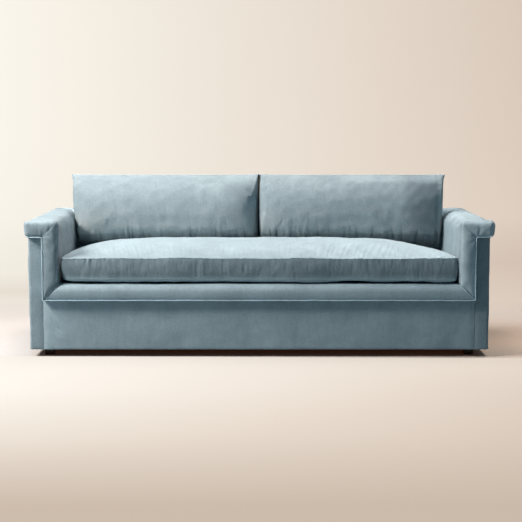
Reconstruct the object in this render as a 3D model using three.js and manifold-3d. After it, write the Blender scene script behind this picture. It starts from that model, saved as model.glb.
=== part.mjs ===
// Tuxedo sofa: arms and back of one height, a padded band that runs down each arm and
// along the front rail, one bench seat cushion and two loose back cushions.
// Millimetres. +X is the viewer's right, -Y the front, +Z up. The origin is on the floor,
// under the middle of the sofa.
import * as THREE from 'three';
import { mergeVertices } from 'three/addons/utils/BufferGeometryUtils.js';
import Module from 'manifold-3d';

const wasm = await Module();
wasm.setup();

// Overall sizes
const sofaWidth = 2290;
const sofaDepth = 890;
const armHeight = 675;

// Padded band: the inner slab of the arms and back, the cap that it turns into at the top,
// and the pad of the front rail
const bandWidth = 81;
const bandProud = 24;
const capHeight = 83;
const capOverhang = 16;
const capCornerRounding = 26;
const bandEdgeRounding = 15;
const railBandBottom = 282;
const railPadDepth = 80;
const railPadFrontThickness = 40;

// Outer part of the arms and back, below the cap
const outerArmWidth = 70;
const coverThickness = 8;
const boardThickness = 3.4;
const coverBottom = 37;

// Timber frame
const frameBottom = 40;
const railThickness = 25;
const sideRailThickness = 46;
const lowerRailHeight = 70;
const topRailThickness = 40;
const springRailDepth = 64;
const springRailHeight = 53;
const rearSpringRailTuck = 27;
const braceThickness = 22;
const braceHeight = 150;
const braceDrop = 24;
const uprightWidth = 56;
const uprightSpacing = 720;
const cornerBlockLeg = 70;
const cornerBlockHeight = 90;

// Feet and the bolts that hold them
const footWidth = 46;
const footSetback = 86;
const footInset = 80;
const boltRadius = 4;
const boltInFoot = 24;
const boltInRail = 45;

// Springs, deck, back webbing and dust cover
const springCount = 6;
const springWire = 4;
const springWidth = 60;
const springRuns = 15;
const springMargin = 160;
const strapCount = 2;
const strapGap = 16;
const strapOverlap = 40;
const dustCoverThickness = 2;
const dustCoverMargin = 12;
const footHoleClearance = 1;

// Seat cushion
const seatRise = 11;
const seatSideClearance = 4;
const seatFrontSetback = 8;
const seatBackClearance = 2;
const seatLowerRoll = 16;
const seatLowerRollInset = 9;
const seatBoxing = 99;
const seatCrown = 61;

// Back cushions
const backCushionRise = 191;
const backCushionSettle = 3;
const backCushionSideClearance = 1;
const backCushionSpacing = 1;
const backCushionRearCrown = 30;
const backCushionBoxing = 46;
const backCushionFrontCrown = 98;

// What all cushions share
const coverWall = 3;
const cushionDrawIn = 5;
const cushionCornerPull = 8;
const boxingBulge = 4;
const zipHeight = 14;
const backZipRise = 130;
const zipLengthShare = 0.7;

// Clearances
const gap = 0.3;
const cutOverrun = 20;

// How finely round shapes are divided
const cornerSteps = 4;
const bevelSteps = 3;
const boltSides = 8;
const seatGrid = { columns: 16, rows: 8, crossPower: 8, depthPower: 2.4 };
const backGrid = { columns: 12, rows: 8, crossPower: 6, depthPower: 3.2 };
const cornerPower = 12;

// Materials
function material(color, roughness, metalness = 0) {
  return new THREE.MeshStandardMaterial({ color, roughness, metalness });
}
const velvet = material(0x8fa5ac, 0.85);
const darkWood = material(0x1d1009, 0.45);
const frameWood = material(0xc49a66, 0.7);
const steel = material(0x8d9094, 0.35, 1);
const blackCloth = material(0x1b1b1c, 0.95);
const paleCloth = material(0xd9d2c2, 0.95);
const fibreBoard = material(0x9a7b57, 0.9);
const foam = material(0xe9dfb8, 1);
const zipTape = material(0x5d6f77, 0.6);

// Places that follow from the sizes
const front = -sofaDepth / 2;
const rear = sofaDepth / 2;
const halfWidth = sofaWidth / 2;
const bodyHalf = halfWidth - capOverhang;
const bodyRear = rear - capOverhang;
const bandOuter = bodyHalf - outerArmWidth;
const bandInner = bandOuter - bandWidth;
const backBandOuter = bodyRear - outerArmWidth;
const backBandInner = backBandOuter - bandWidth;
const capBottom = armHeight - capHeight;
const topRailTop = capBottom + topRailThickness;
const railBandTop = railBandBottom + bandWidth;
const panelFront = front + bandProud;
const frameFront = panelFront + coverThickness + gap;
const frameRear = bodyRear - coverThickness - gap;
const frameOuter = bodyHalf - coverThickness - gap;
const frameInner = bandOuter + gap + boardThickness + gap;
const frameDepth = frameOuter - frameInner;
const backFrameFront = backBandOuter + gap + boardThickness + gap;
const railTop = railBandBottom - gap;
const springRailTop = railBandBottom + springRailHeight;
const springTop = springRailTop + gap + springWire;
const seatBottom = railBandTop + seatRise;
const seatTopSeam = seatBottom + seatLowerRoll + seatBoxing;
const backCushionTop = armHeight + backCushionRise;
const backCushionHeight = backCushionTop - seatTopSeam + backCushionSettle;
const railPadRear = front + railPadDepth;
const frontRailRear = frameFront + railThickness;
const rearRailRear = backBandInner + rearSpringRailTuck;
const rearRailFront = rearRailRear - railThickness;
const sideRailOuter = bandOuter - gap;
const sideRailInner = sideRailOuter - sideRailThickness;
const footX = halfWidth - footInset - footWidth / 2;
const frontFootY = front + footSetback + footWidth / 2;

const sofa = new THREE.Group();
sofa.name = 'tuxedo_sofa';

// Adds one named piece to the sofa, with its geometry already in place or moved to a point.
function addPiece(name, geometry, finish, x = 0, y = 0, z = 0) {
  const mesh = new THREE.Mesh(geometry, finish);
  mesh.name = name;
  mesh.position.set(x, y, z);
  sofa.add(mesh);
}

// The centre and the length of a stretch given by its two ends, in either order.
function middle([a, b]) {
  return (a + b) / 2;
}
function span([a, b]) {
  return Math.abs(b - a);
}

// Adds a straight board that fills the given stretch of each axis.
function addBoard(name, finish, acrossX, alongY, upZ) {
  const geometry = new THREE.BoxGeometry(span(acrossX), span(alongY), span(upZ));
  addPiece(name, geometry, finish, middle(acrossX), middle(alongY), middle(upZ));
}

// Turns a geometry into a closed solid that can be cut and joined.
function solidOf(geometry) {
  const bare = geometry.clone();
  bare.deleteAttribute('normal');
  bare.deleteAttribute('uv');
  const merged = mergeVertices(bare);
  const vertProperties = new Float32Array(merged.attributes.position.array);
  const triVerts = new Uint32Array(merged.index.array);
  return new wasm.Manifold(new wasm.Mesh({ numProp: 3, vertProperties, triVerts }));
}

// Turns a solid back into a geometry.
function geometryOf(solid) {
  const mesh = solid.getMesh();
  const geometry = new THREE.BufferGeometry();
  geometry.setAttribute('position', new THREE.BufferAttribute(mesh.vertProperties, mesh.numProp));
  geometry.setIndex(new THREE.BufferAttribute(mesh.triVerts, 1));
  geometry.computeVertexNormals();
  return geometry;
}

// A box as a solid, filling the given stretch of each axis.
function boxSolid(acrossX, alongY, upZ) {
  const geometry = new THREE.BoxGeometry(span(acrossX), span(alongY), span(upZ));
  geometry.translate(middle(acrossX), middle(alongY), middle(upZ));
  return solidOf(geometry);
}

// An upright rod as a solid, used for bolts and for their holes.
function rodSolid(radius, x, y, [low, high]) {
  const geometry = new THREE.CylinderGeometry(radius, radius, high - low, boltSides);
  geometry.rotateX(Math.PI / 2);
  geometry.translate(x, y, (low + high) / 2);
  return solidOf(geometry);
}

// A closed outline through corners given as [across, up, rounding], the rounding optional.
function outline(corners) {
  const shape = new THREE.Shape();
  corners.forEach(([across, up, rounding = 0], index) => {
    const corner = new THREE.Vector2(across, up);
    const before = new THREE.Vector2(...corners.at(index - 1));
    const after = new THREE.Vector2(...corners[(index + 1) % corners.length]);
    const start = corner.clone().add(before.sub(corner).setLength(rounding));
    const end = corner.clone().add(after.sub(corner).setLength(rounding));
    if (index === 0) shape.moveTo(start.x, start.y);
    else shape.lineTo(start.x, start.y);
    if (rounding > 0) shape.quadraticCurveTo(corner.x, corner.y, end.x, end.y);
  });
  shape.closePath();
  return shape;
}

// Extrudes an outline drawn in plan, from one height to another.
function extrudeUp(shape, [low, high]) {
  const depth = high - low;
  const geometry = new THREE.ExtrudeGeometry(shape, { depth, bevelEnabled: false });
  geometry.translate(0, 0, low);
  return geometry;
}

// Extrudes an outline drawn in the X-Z plane along Y. A bevel rounds both ends.
function extrudeAlongY(shape, [near, far], bevel = 0) {
  const geometry = new THREE.ExtrudeGeometry(shape, {
    depth: far - near - 2 * bevel,
    bevelEnabled: bevel > 0,
    bevelThickness: bevel,
    bevelSize: bevel,
    bevelOffset: -bevel,
    bevelSegments: bevelSteps,
    curveSegments: cornerSteps,
  });
  geometry.rotateX(Math.PI / 2);
  geometry.translate(0, far - bevel, 0);
  return geometry;
}

// Extrudes an outline drawn in the Y-Z plane along X.
function extrudeAlongX(shape, [near, far]) {
  const geometry = new THREE.ExtrudeGeometry(shape, {
    depth: far - near,
    bevelEnabled: false,
    curveSegments: cornerSteps,
  });
  const yAxis = new THREE.Vector3(0, 1, 0);
  const zAxis = new THREE.Vector3(0, 0, 1);
  const xAxis = new THREE.Vector3(1, 0, 0);
  geometry.applyMatrix4(new THREE.Matrix4().makeBasis(yAxis, zAxis, xAxis));
  geometry.translate(near, 0, 0);
  return geometry;
}

// Section of the band on an arm or the back: the inner slab and the cap that it turns into,
// which reaches over the outer part and past it. place() turns a distance outwards from the
// inner face into a place on the section's own axis.
function bandSection(place, lowerCorners) {
  const capOuter = bandWidth + outerArmWidth + capOverhang;
  return outline([
    ...lowerCorners,
    [place(0), armHeight, capCornerRounding],
    [place(capOuter), armHeight, capCornerRounding],
    [place(capOuter), capBottom],
    [place(bandWidth), capBottom],
  ]);
}

// Wedge below the 45 degree line on which an arm's slab meets the pad of the front rail.
function arrangeLowerMitre(side, belowLine, shift) {
  const overrun = 2 * cutOverrun;
  const inner = side * (bandInner - overrun + shift);
  const outer = side * (bandOuter + overrun + shift);
  const top = railBandTop + overrun + shift;
  const bottom = railBandBottom - overrun + shift;
  const rightAngle = belowLine ? [inner, bottom] : [outer, top];
  const wedge = outline([[inner, top], [outer, bottom], rightAngle]);
  return solidOf(extrudeAlongY(wedge, [front - cutOverrun, rear + cutOverrun]));
}

// Wedge on one side of the 45 degree line, in plan, on which an arm's cap and slab meet
// those of the back.
function arrangeRearMitre(side, behindLine, shift) {
  const reach = bandWidth + outerArmWidth + capOverhang + bandEdgeRounding + 4 * cutOverrun;
  const innerX = side * (bandInner - cutOverrun + shift);
  const outerX = side * (bandInner - cutOverrun + reach + shift);
  const innerY = backBandInner - cutOverrun;
  const outerY = innerY + reach;
  const rightAngle = behindLine ? [innerX, outerY] : [outerX, innerY];
  const wedge = outline([[innerX, innerY], [outerX, outerY], rightAngle]);
  return solidOf(extrudeUp(wedge, [railBandBottom - cutOverrun, armHeight + cutOverrun]));
}

// Padded inner slab and cap of one arm, hollowed underneath for the timber that it sits on.
function armPadSolid(side) {
  const place = (outwards) => side * (bandInner + outwards);
  const lower = railBandBottom - cutOverrun;
  const section = bandSection(place, [[place(bandWidth), lower], [place(0), lower]]);
  const ends = [front, rear + cutOverrun + bandEdgeRounding];
  const timber = boxSolid(
    [side * bandOuter, side * (frameOuter + gap)],
    [frameFront - gap, rear + 2 * cutOverrun],
    [capBottom - cutOverrun, topRailTop + gap],
  );
  return solidOf(extrudeAlongY(section, ends, bandEdgeRounding))
    .subtract(arrangeLowerMitre(side, true, gap))
    .subtract(arrangeRearMitre(side, true, gap))
    .subtract(timber);
}

// The same for the back, from one rear corner to the other.
function backPadSolid() {
  const place = (outwards) => backBandInner + outwards;
  const lowerCorners = [[place(bandWidth), railBandBottom], [place(0), railBandTop]];
  const section = bandSection(place, lowerCorners);
  const ends = [-halfWidth - cutOverrun, halfWidth + cutOverrun];
  const timber = boxSolid(
    ends,
    [backBandOuter, frameRear + gap],
    [capBottom - cutOverrun, topRailTop + gap],
  );
  return solidOf(extrudeAlongX(section, ends))
    .subtract(arrangeRearMitre(-1, false, 0))
    .subtract(arrangeRearMitre(1, false, 0))
    .subtract(timber);
}

// Pad of the front rail: it stands in front of the spring rail and turns back over it.
function frontRailPadSolid() {
  const slabRear = front + railPadFrontThickness;
  const section = outline([
    [front, railBandBottom, bandEdgeRounding],
    [slabRear, railBandBottom],
    [slabRear, springRailTop + gap],
    [railPadRear, springRailTop + gap],
    [railPadRear, railBandTop],
    [front, railBandTop, bandEdgeRounding],
  ]);
  return solidOf(extrudeAlongX(section, [-bandOuter, bandOuter]))
    .subtract(arrangeLowerMitre(-1, false, 0))
    .subtract(arrangeLowerMitre(1, false, 0));
}

function addPads() {
  addPiece('left_arm_pad', geometryOf(armPadSolid(-1)), velvet);
  addPiece('right_arm_pad', geometryOf(armPadSolid(1)), velvet);
  addPiece('back_pad', geometryOf(backPadSolid()), velvet);
  addPiece('front_rail_pad', geometryOf(frontRailPadSolid()), velvet);
}

// Outside cover of one arm: it wraps the front of the arm and runs along its side.
function outsideArmCover(side) {
  const inner = side * (bandOuter + gap);
  const liner = side * (bodyHalf - coverThickness);
  const outer = side * bodyHalf;
  const shape = outline([
    [inner, panelFront],
    [outer, panelFront],
    [outer, bodyRear],
    [liner, bodyRear],
    [liner, panelFront + coverThickness],
    [inner, panelFront + coverThickness],
  ]);
  return extrudeUp(shape, [coverBottom, capBottom - gap]);
}

function addCovers() {
  addPiece('left_outside_arm_cover', outsideArmCover(-1), velvet);
  addPiece('right_outside_arm_cover', outsideArmCover(1), velvet);
  const backHalf = bodyHalf - coverThickness - gap;
  const backAlong = [bodyRear - coverThickness, bodyRear];
  const backUp = [coverBottom, capBottom - gap];
  addBoard('outside_back_cover', velvet, [-backHalf, backHalf], backAlong, backUp);
  const panelAlong = [panelFront, panelFront + coverThickness];
  addBoard('front_panel_cover', velvet, [-bandOuter, bandOuter], panelAlong, [coverBottom, railTop]);
}

// Posts, rails and the fibre board of one arm.
function addArmFrame(side, label) {
  const across = [side * frameInner, side * frameOuter];
  const postUp = [frameBottom, capBottom - gap];
  const between = [frameFront + frameDepth + gap, backFrameFront - gap];
  addBoard(`${label}_front_post`, frameWood, across, [frameFront, frameFront + frameDepth], postUp);
  addBoard(`${label}_rear_post`, frameWood, across, [backFrameFront, frameRear], postUp);
  addBoard(`${label}_arm_top_rail`, frameWood, across, [frameFront, frameRear], [capBottom, topRailTop]);
  const lowerUp = [frameBottom, frameBottom + lowerRailHeight];
  addBoard(`${label}_arm_lower_rail`, frameWood, across, between, lowerUp);
  const boardAcross = [side * (bandOuter + gap), side * (bandOuter + gap + boardThickness)];
  const boardAlong = [frameFront, backBandOuter - gap];
  addBoard(`${label}_inside_arm_board`, fibreBoard, boardAcross, boardAlong, [frameBottom, topRailTop]);
}

// Rails, uprights and webbing of the back.
function addBackFrame() {
  const half = frameInner - gap;
  const along = [backFrameFront, frameRear];
  const lowerTop = frameBottom + lowerRailHeight;
  addBoard('back_top_rail', frameWood, [-half, half], along, [capBottom, topRailTop]);
  addBoard('back_lower_rail', frameWood, [-half, half], along, [frameBottom, lowerTop]);
  for (const [side, label] of [[-1, 'left'], [1, 'right']]) {
    const centre = (side * uprightSpacing) / 2;
    const across = [centre - uprightWidth / 2, centre + uprightWidth / 2];
    addBoard(`back_${label}_upright`, frameWood, across, along, [lowerTop + gap, capBottom - gap]);
  }
  const strapHalf = frameInner + strapOverlap;
  const strapAlong = [backBandOuter + gap, backBandOuter + gap + boardThickness];
  const strapStep = (capBottom - springRailTop) / (strapCount + 1);
  const strapWidth = strapStep - strapGap;
  for (let index = 1; index <= strapCount; index += 1) {
    const centre = springRailTop + index * strapStep;
    const strapUp = [centre - strapWidth / 2, centre + strapWidth / 2];
    addBoard(`back_webbing_${index}`, paleCloth, [-strapHalf, strapHalf], strapAlong, strapUp);
  }
}

// Rail at one side of the seat, with a hole for the bolt of each foot under it.
function seatSideRail(side) {
  const across = [side * sideRailInner, side * sideRailOuter];
  const along = [frontRailRear + gap, backFrameFront - gap];
  const hole = [frameBottom - cutOverrun, frameBottom + boltInRail + gap];
  let rail = boxSolid(across, along, [frameBottom, railTop]);
  for (const y of [frontFootY, -frontFootY]) {
    rail = rail.subtract(rodSolid(boltRadius + gap, side * footX, y, hole));
  }
  return geometryOf(rail);
}

// Glue block in one inner corner of the seat frame.
function cornerBlock(side, cornerY, inwards) {
  const cornerX = side * (sideRailInner - gap);
  const shape = outline([
    [cornerX, cornerY],
    [cornerX - side * cornerBlockLeg, cornerY],
    [cornerX, cornerY + inwards * cornerBlockLeg],
  ]);
  return extrudeUp(shape, [frameBottom, frameBottom + cornerBlockHeight]);
}

// Rails, braces and corner blocks that carry the seat.
function addSeatFrame() {
  const full = [-sideRailOuter, sideRailOuter];
  const between = [gap - sideRailInner, sideRailInner - gap];
  const springAcross = [gap - bandInner, bandInner - gap];
  const up = [frameBottom, railTop];
  const springUp = [railBandBottom, springRailTop];
  const springFront = front + railPadFrontThickness + gap;
  const frontSpringAlong = [springFront, springFront + springRailDepth];
  const rearSpringAlong = [rearRailRear - springRailDepth, rearRailRear];
  addBoard('front_rail', frameWood, full, [frameFront, frontRailRear], up);
  addBoard('rear_rail', frameWood, between, [rearRailFront, rearRailRear], up);
  addBoard('front_spring_rail', frameWood, springAcross, frontSpringAlong, springUp);
  addBoard('rear_spring_rail', frameWood, springAcross, rearSpringAlong, springUp);
  const braceAlong = [frontRailRear + gap, rearRailFront - gap];
  const braceTop = railTop - braceDrop;
  const braceAcross = [-braceThickness / 2, braceThickness / 2];
  addBoard('seat_centre_brace', frameWood, braceAcross, braceAlong, [braceTop - braceHeight, braceTop]);
  for (const [side, label] of [[-1, 'left'], [1, 'right']]) {
    addPiece(`${label}_seat_rail`, seatSideRail(side), frameWood);
    addPiece(`front_${label}_corner_block`, cornerBlock(side, frontRailRear + gap, 1), frameWood);
    addPiece(`rear_${label}_corner_block`, cornerBlock(side, rearRailFront - gap, -1), frameWood);
  }
}

// Outline of a flat wire bent at right angles along a line of points.
function wireOutline(points, width) {
  const near = [];
  const far = [];
  points.forEach((point, index) => {
    const toHere = point.clone().sub(points[Math.max(index - 1, 0)]).normalize();
    const onwards = points[Math.min(index + 1, points.length - 1)].clone().sub(point).normalize();
    const bend = new THREE.Vector2(-toHere.y - onwards.y, toHere.x + onwards.x);
    const offset = bend.multiplyScalar(width / 2);
    near.push(point.clone().add(offset));
    far.unshift(point.clone().sub(offset));
  });
  return new THREE.Shape([...near, ...far]);
}

// Sinuous springs, from the front spring rail to the rear one.
function addSprings() {
  const start = railPadRear + gap + springWire / 2;
  const end = backBandInner - gap - springWire / 2;
  const pitch = (end - start) / (springRuns - 1);
  const reach = (springWidth - springWire) / 2;
  const points = [];
  for (let run = 0; run < springRuns; run += 1) {
    const side = run % 2 === 0 ? 1 : -1;
    points.push(new THREE.Vector2(-side * reach, start + run * pitch));
    points.push(new THREE.Vector2(side * reach, start + run * pitch));
  }
  const shape = wireOutline(points, springWire);
  const outerX = bandInner - springMargin;
  for (let index = 0; index < springCount; index += 1) {
    const x = -outerX + (2 * outerX * index) / (springCount - 1);
    const geometry = extrudeUp(shape, [springRailTop + gap, springTop]);
    addPiece(`seat_spring_${index + 1}`, geometry, steel, x);
  }
}

// Padded platform over the springs, which the seat cushion rests on.
function addDeck() {
  const across = [gap - bandInner, bandInner - gap];
  const along = [railPadRear + gap, backBandInner - gap];
  addBoard('deck_pad', blackCloth, across, along, [springTop + gap, seatBottom - gap]);
}

// Foot: a square block with a blind hole for its bolt.
function addFeet() {
  const places = [['front', frontFootY], ['rear', -frontFootY]];
  for (const [end, y] of places) {
    for (const [side, label] of [[-1, 'left'], [1, 'right']]) {
      const x = side * footX;
      const across = [x - footWidth / 2, x + footWidth / 2];
      const along = [y - footWidth / 2, y + footWidth / 2];
      const hole = [frameBottom - boltInFoot - gap, frameBottom + cutOverrun];
      const bolt = [frameBottom - boltInFoot, frameBottom + boltInRail];
      const block = boxSolid(across, along, [0, frameBottom - gap]);
      const foot = block.subtract(rodSolid(boltRadius + gap, x, y, hole));
      addPiece(`${end}_${label}_foot`, geometryOf(foot), darkWood);
      addPiece(`${end}_${label}_foot_bolt`, geometryOf(rodSolid(boltRadius, x, y, bolt)), steel);
    }
  }
}

// Black cloth under the frame, with a hole round each foot.
function addDustCover() {
  const half = frameOuter - dustCoverMargin;
  const along = [frameFront + dustCoverMargin, frameRear - dustCoverMargin];
  const top = frameBottom - gap;
  const hole = footWidth / 2 + footHoleClearance;
  let cloth = boxSolid([-half, half], along, [top - dustCoverThickness, top]);
  for (const x of [-footX, footX]) {
    for (const y of [frontFootY, -frontFootY]) {
      cloth = cloth.subtract(boxSolid([x - hole, x + hole], [y - hole, y + hole], [0, frameBottom]));
    }
  }
  addPiece('dust_cover', geometryOf(cloth), blackCloth);
}

// Closed form of a cushion, drawn lying down: a crowned top, a boxing that swells between
// its seams, sides drawn in between the corners, and a bottom that is flat or crowned.
// inset gives the same form made smaller all round, for the hollow and for the filling.
function cushionSolid(form, inset) {
  const { grid, topCrown, bottomCrown } = form;
  const halfX = form.halfX - inset;
  const halfY = form.halfY - inset;
  const positions = [];
  const indices = [];
  const shareAt = (index, count) => Math.sin((index / count - 1 / 2) * Math.PI);

  function addPoint(u, v, offset, z) {
    const pull = cushionCornerPull * Math.abs(u * v) ** cornerPower;
    const x = u * (halfX + offset - cushionDrawIn * (1 - v * v) - pull);
    const y = v * (halfY + offset - cushionDrawIn * (1 - u * u) - pull);
    positions.push(x, y, z);
    return positions.length / 3 - 1;
  }

  function crownAt(u, v) {
    return (1 - Math.abs(u) ** grid.crossPower) * (1 - Math.abs(v) ** grid.depthPower);
  }

  const rim = [];
  for (let i = 0; i < grid.columns; i += 1) rim.push([i, 0]);
  for (let j = 0; j < grid.rows; j += 1) rim.push([grid.columns, j]);
  for (let i = grid.columns; i > 0; i -= 1) rim.push([i, grid.rows]);
  for (let j = grid.rows; j > 0; j -= 1) rim.push([0, j]);

  const rings = form.levels.map(({ z, offset }, level) => {
    const lift = level === 0 ? inset : level === form.levels.length - 1 ? -inset : 0;
    return rim.map(([i, j]) => addPoint(shareAt(i, grid.columns), shareAt(j, grid.rows), offset, z + lift));
  });
  for (let level = 0; level + 1 < rings.length; level += 1) {
    rim.forEach((_, index) => {
      const next = (index + 1) % rim.length;
      const [a, b] = [rings[level][index], rings[level][next]];
      const [c, d] = [rings[level + 1][index], rings[level + 1][next]];
      indices.push(a, b, d, a, d, c);
    });
  }

  // A face is a grid inside a ring. The bottom face is wound the other way round.
  function addFace(ring, z, offset, crown, upwards) {
    const rimPoint = new Map(rim.map(([i, j], index) => [`${i},${j}`, ring[index]]));
    const pointAt = (i, j) => {
      const key = `${i},${j}`;
      if (!rimPoint.has(key)) {
        const [u, v] = [shareAt(i, grid.columns), shareAt(j, grid.rows)];
        rimPoint.set(key, addPoint(u, v, offset, z + crown * crownAt(u, v)));
      }
      return rimPoint.get(key);
    };
    for (let i = 0; i < grid.columns; i += 1) {
      for (let j = 0; j < grid.rows; j += 1) {
        const corners = [pointAt(i, j), pointAt(i + 1, j), pointAt(i + 1, j + 1), pointAt(i, j + 1)];
        if (!upwards) corners.reverse();
        const [a, b, c, d] = corners;
        indices.push(a, b, c, a, c, d);
      }
    }
  }

  const lowest = form.levels[0];
  const highest = form.levels.at(-1);
  addFace(rings.at(-1), highest.z - inset, highest.offset, topCrown, true);
  addFace(rings[0], lowest.z + inset, lowest.offset, -bottomCrown, false);
  const geometry = new THREE.BufferGeometry();
  geometry.setAttribute('position', new THREE.Float32BufferAttribute(positions, 3));
  geometry.setIndex(indices);
  return solidOf(geometry);
}

// Cover, filling and zip of one cushion. The cover is open where the zip closes it.
function addCushion(name, makeForm, zipBox) {
  const shell = makeForm(0).subtract(makeForm(coverWall));
  const [across, along, up] = zipBox;
  const shrink = ([low, high]) => [low + gap, high - gap];
  addPiece(`${name}_cover`, geometryOf(shell.subtract(boxSolid(across, along, up))), velvet);
  addPiece(`${name}_filling`, geometryOf(makeForm(coverWall + gap)), foam);
  const zip = shell.intersect(boxSolid(shrink(across), along, shrink(up)));
  addPiece(`${name}_zip`, geometryOf(zip), zipTape);
}

// Bench seat cushion, raised by lift where it is used to cut what lies on it.
function seatCushionSolid(inset, lift = 0) {
  const near = front + seatFrontSetback;
  const far = backBandInner - seatBackClearance;
  const form = {
    grid: seatGrid,
    halfX: bandInner - seatSideClearance - boxingBulge,
    halfY: (far - near) / 2 - boxingBulge,
    topCrown: seatCrown,
    bottomCrown: 0,
    levels: [
      { z: seatBottom, offset: -seatLowerRollInset },
      { z: seatBottom + seatLowerRoll, offset: 0 },
      { z: (seatBottom + seatLowerRoll + seatTopSeam) / 2, offset: boxingBulge },
      { z: seatTopSeam, offset: 0 },
    ],
  };
  return cushionSolid(form, inset).translate(0, (near + far) / 2, lift);
}

function addSeatCushion() {
  const zipHalf = zipLengthShare * (bandInner - seatSideClearance);
  const zipMiddle = (seatBottom + seatLowerRoll + seatTopSeam) / 2;
  const zipBox = [
    [-zipHalf, zipHalf],
    [backBandInner - seatBackClearance - cutOverrun, backBandInner],
    [zipMiddle - zipHeight / 2, zipMiddle + zipHeight / 2],
  ];
  addCushion('seat_cushion', (inset) => seatCushionSolid(inset), zipBox);
}

// Loose back cushion: it stands on the seat cushion, which shapes its lower edge, and its
// fuller crown faces forwards.
function backCushionSolid(side, inset) {
  const reach = bandInner - backCushionSideClearance - backCushionSpacing / 2;
  const bottomSeam = backCushionRearCrown;
  const topSeam = backCushionRearCrown + backCushionBoxing;
  const form = {
    grid: backGrid,
    halfX: reach / 2 - boxingBulge,
    halfY: backCushionHeight / 2 - boxingBulge,
    topCrown: backCushionFrontCrown,
    bottomCrown: backCushionRearCrown,
    levels: [
      { z: bottomSeam, offset: 0 },
      { z: (bottomSeam + topSeam) / 2, offset: boxingBulge },
      { z: topSeam, offset: 0 },
    ],
  };
  return cushionSolid(form, inset)
    .rotate(90, 0, 0)
    .translate(
      side * (backCushionSpacing / 2 + reach / 2),
      backBandInner - gap,
      backCushionTop - backCushionHeight / 2,
    )
    .subtract(seatCushionSolid(0, gap + inset));
}

function addBackCushions() {
  const reach = bandInner - backCushionSideClearance - backCushionSpacing / 2;
  const zipHalf = (zipLengthShare * reach) / 2;
  const zipMiddle = backCushionTop - backCushionHeight + backZipRise;
  const thickness = backCushionRearCrown + backCushionBoxing + backCushionFrontCrown;
  for (const [side, label] of [[-1, 'left'], [1, 'right']]) {
    const centre = side * (backCushionSpacing / 2 + reach / 2);
    const zipBox = [
      [centre - zipHalf, centre + zipHalf],
      [backBandInner - thickness / 2, backBandInner],
      [zipMiddle - zipHeight / 2, zipMiddle + zipHeight / 2],
    ];
    addCushion(`${label}_back_cushion`, (inset) => backCushionSolid(side, inset), zipBox);
  }
}

addArmFrame(-1, 'left');
addArmFrame(1, 'right');
addBackFrame();
addSeatFrame();
addFeet();
addSprings();
addDeck();
addDustCover();
addPads();
addCovers();
addSeatCushion();
addBackCushions();

export default sofa;
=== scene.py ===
import math

import bmesh
import bpy
import numpy as np
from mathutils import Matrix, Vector
from mathutils.bvhtree import BVHTree


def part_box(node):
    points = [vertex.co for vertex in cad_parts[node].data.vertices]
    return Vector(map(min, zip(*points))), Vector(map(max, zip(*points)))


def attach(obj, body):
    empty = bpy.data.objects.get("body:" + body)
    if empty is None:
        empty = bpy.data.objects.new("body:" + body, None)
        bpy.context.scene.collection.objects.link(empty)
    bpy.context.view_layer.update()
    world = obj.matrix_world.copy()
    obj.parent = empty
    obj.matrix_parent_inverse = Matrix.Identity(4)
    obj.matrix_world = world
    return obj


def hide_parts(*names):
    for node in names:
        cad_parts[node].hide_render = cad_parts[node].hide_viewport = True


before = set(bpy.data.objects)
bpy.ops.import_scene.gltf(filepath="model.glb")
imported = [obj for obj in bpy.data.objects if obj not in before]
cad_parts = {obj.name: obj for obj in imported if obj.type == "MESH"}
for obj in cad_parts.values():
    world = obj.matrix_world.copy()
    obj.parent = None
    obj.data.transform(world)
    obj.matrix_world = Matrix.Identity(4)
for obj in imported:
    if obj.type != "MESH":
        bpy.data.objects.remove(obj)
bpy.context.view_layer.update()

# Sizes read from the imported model
LEFT, RIGHT = -1, 1
both_sides = ((LEFT, "left"), (RIGHT, "right"))
foot_names = [f"{end}_{label}_foot" for end in ("front", "rear") for side, label in both_sides]
arm_low, arm_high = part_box("right_arm_pad")
back_low, back_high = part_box("back_pad")
rail_low, rail_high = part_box("front_rail_pad")
cover_low, cover_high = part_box("right_outside_arm_cover")
seat_low, seat_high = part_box("seat_cushion_cover")
band_inner, half_width = arm_low.x, arm_high.x
front, arm_top = arm_low.y, arm_high.z
back_inner, rear = back_low.y, back_high.y
band_outer, rail_rear = rail_high.x, rail_high.y
rail_bottom, rail_top = rail_low.z, rail_high.z
body_half, body_rear = cover_high.x, cover_high.y
panel_front, cover_bottom = cover_low.y, cover_low.z
cover_thickness = 0.008
cover_gap = 0.0003
cap_bottom = cover_high.z + cover_gap
band_width = band_outer - band_inner
cap_width = half_width - band_inner

# Roundings, swells and seams of the upholstery
pad_voxel = 0.0055
pad_smoothing = 3
soft_edge_radius = 0.019
welted_edge_radius = 0.006
front_corner_radius = 0.022
inner_top_radius = 0.058
outer_top_radius = 0.028
cap_lower_radius = 0.016
cap_taper = 0.008
cap_fullness = 0.006
rail_top_radius = 0.030
band_swell = 0.008
welt_radius = 0.0026
seam_pinch = 0.003
seam_pinch_reach = 0.009
seam_radius = 0.0019
overhang = 0.03

# Seat cushion
seat_half_x = seat_high.x
seat_front, seat_rear = seat_low.y, seat_high.y
seat_middle = (seat_front + seat_rear) / 2
seat_half_y = (seat_rear - seat_front) / 2
seat_top_seam = 0.489
seat_lower_seam = 0.391
seat_crown = 0.058

# Back cushions
back_inner_edge = 0.0020
cover_inner_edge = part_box("right_back_cushion_cover")[0].x
back_seam_plane = 0.236
back_front_reach = 0.136
back_rear_reach = back_inner - 0.001 - back_seam_plane
back_top = 0.866
back_bottom = 0.505


# Arrays and meshes

def smooth_step(start, end, value):
    t = np.clip((value - start) / (end - start), 0, 1)
    return t * t * (3 - 2 * t)


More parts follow.
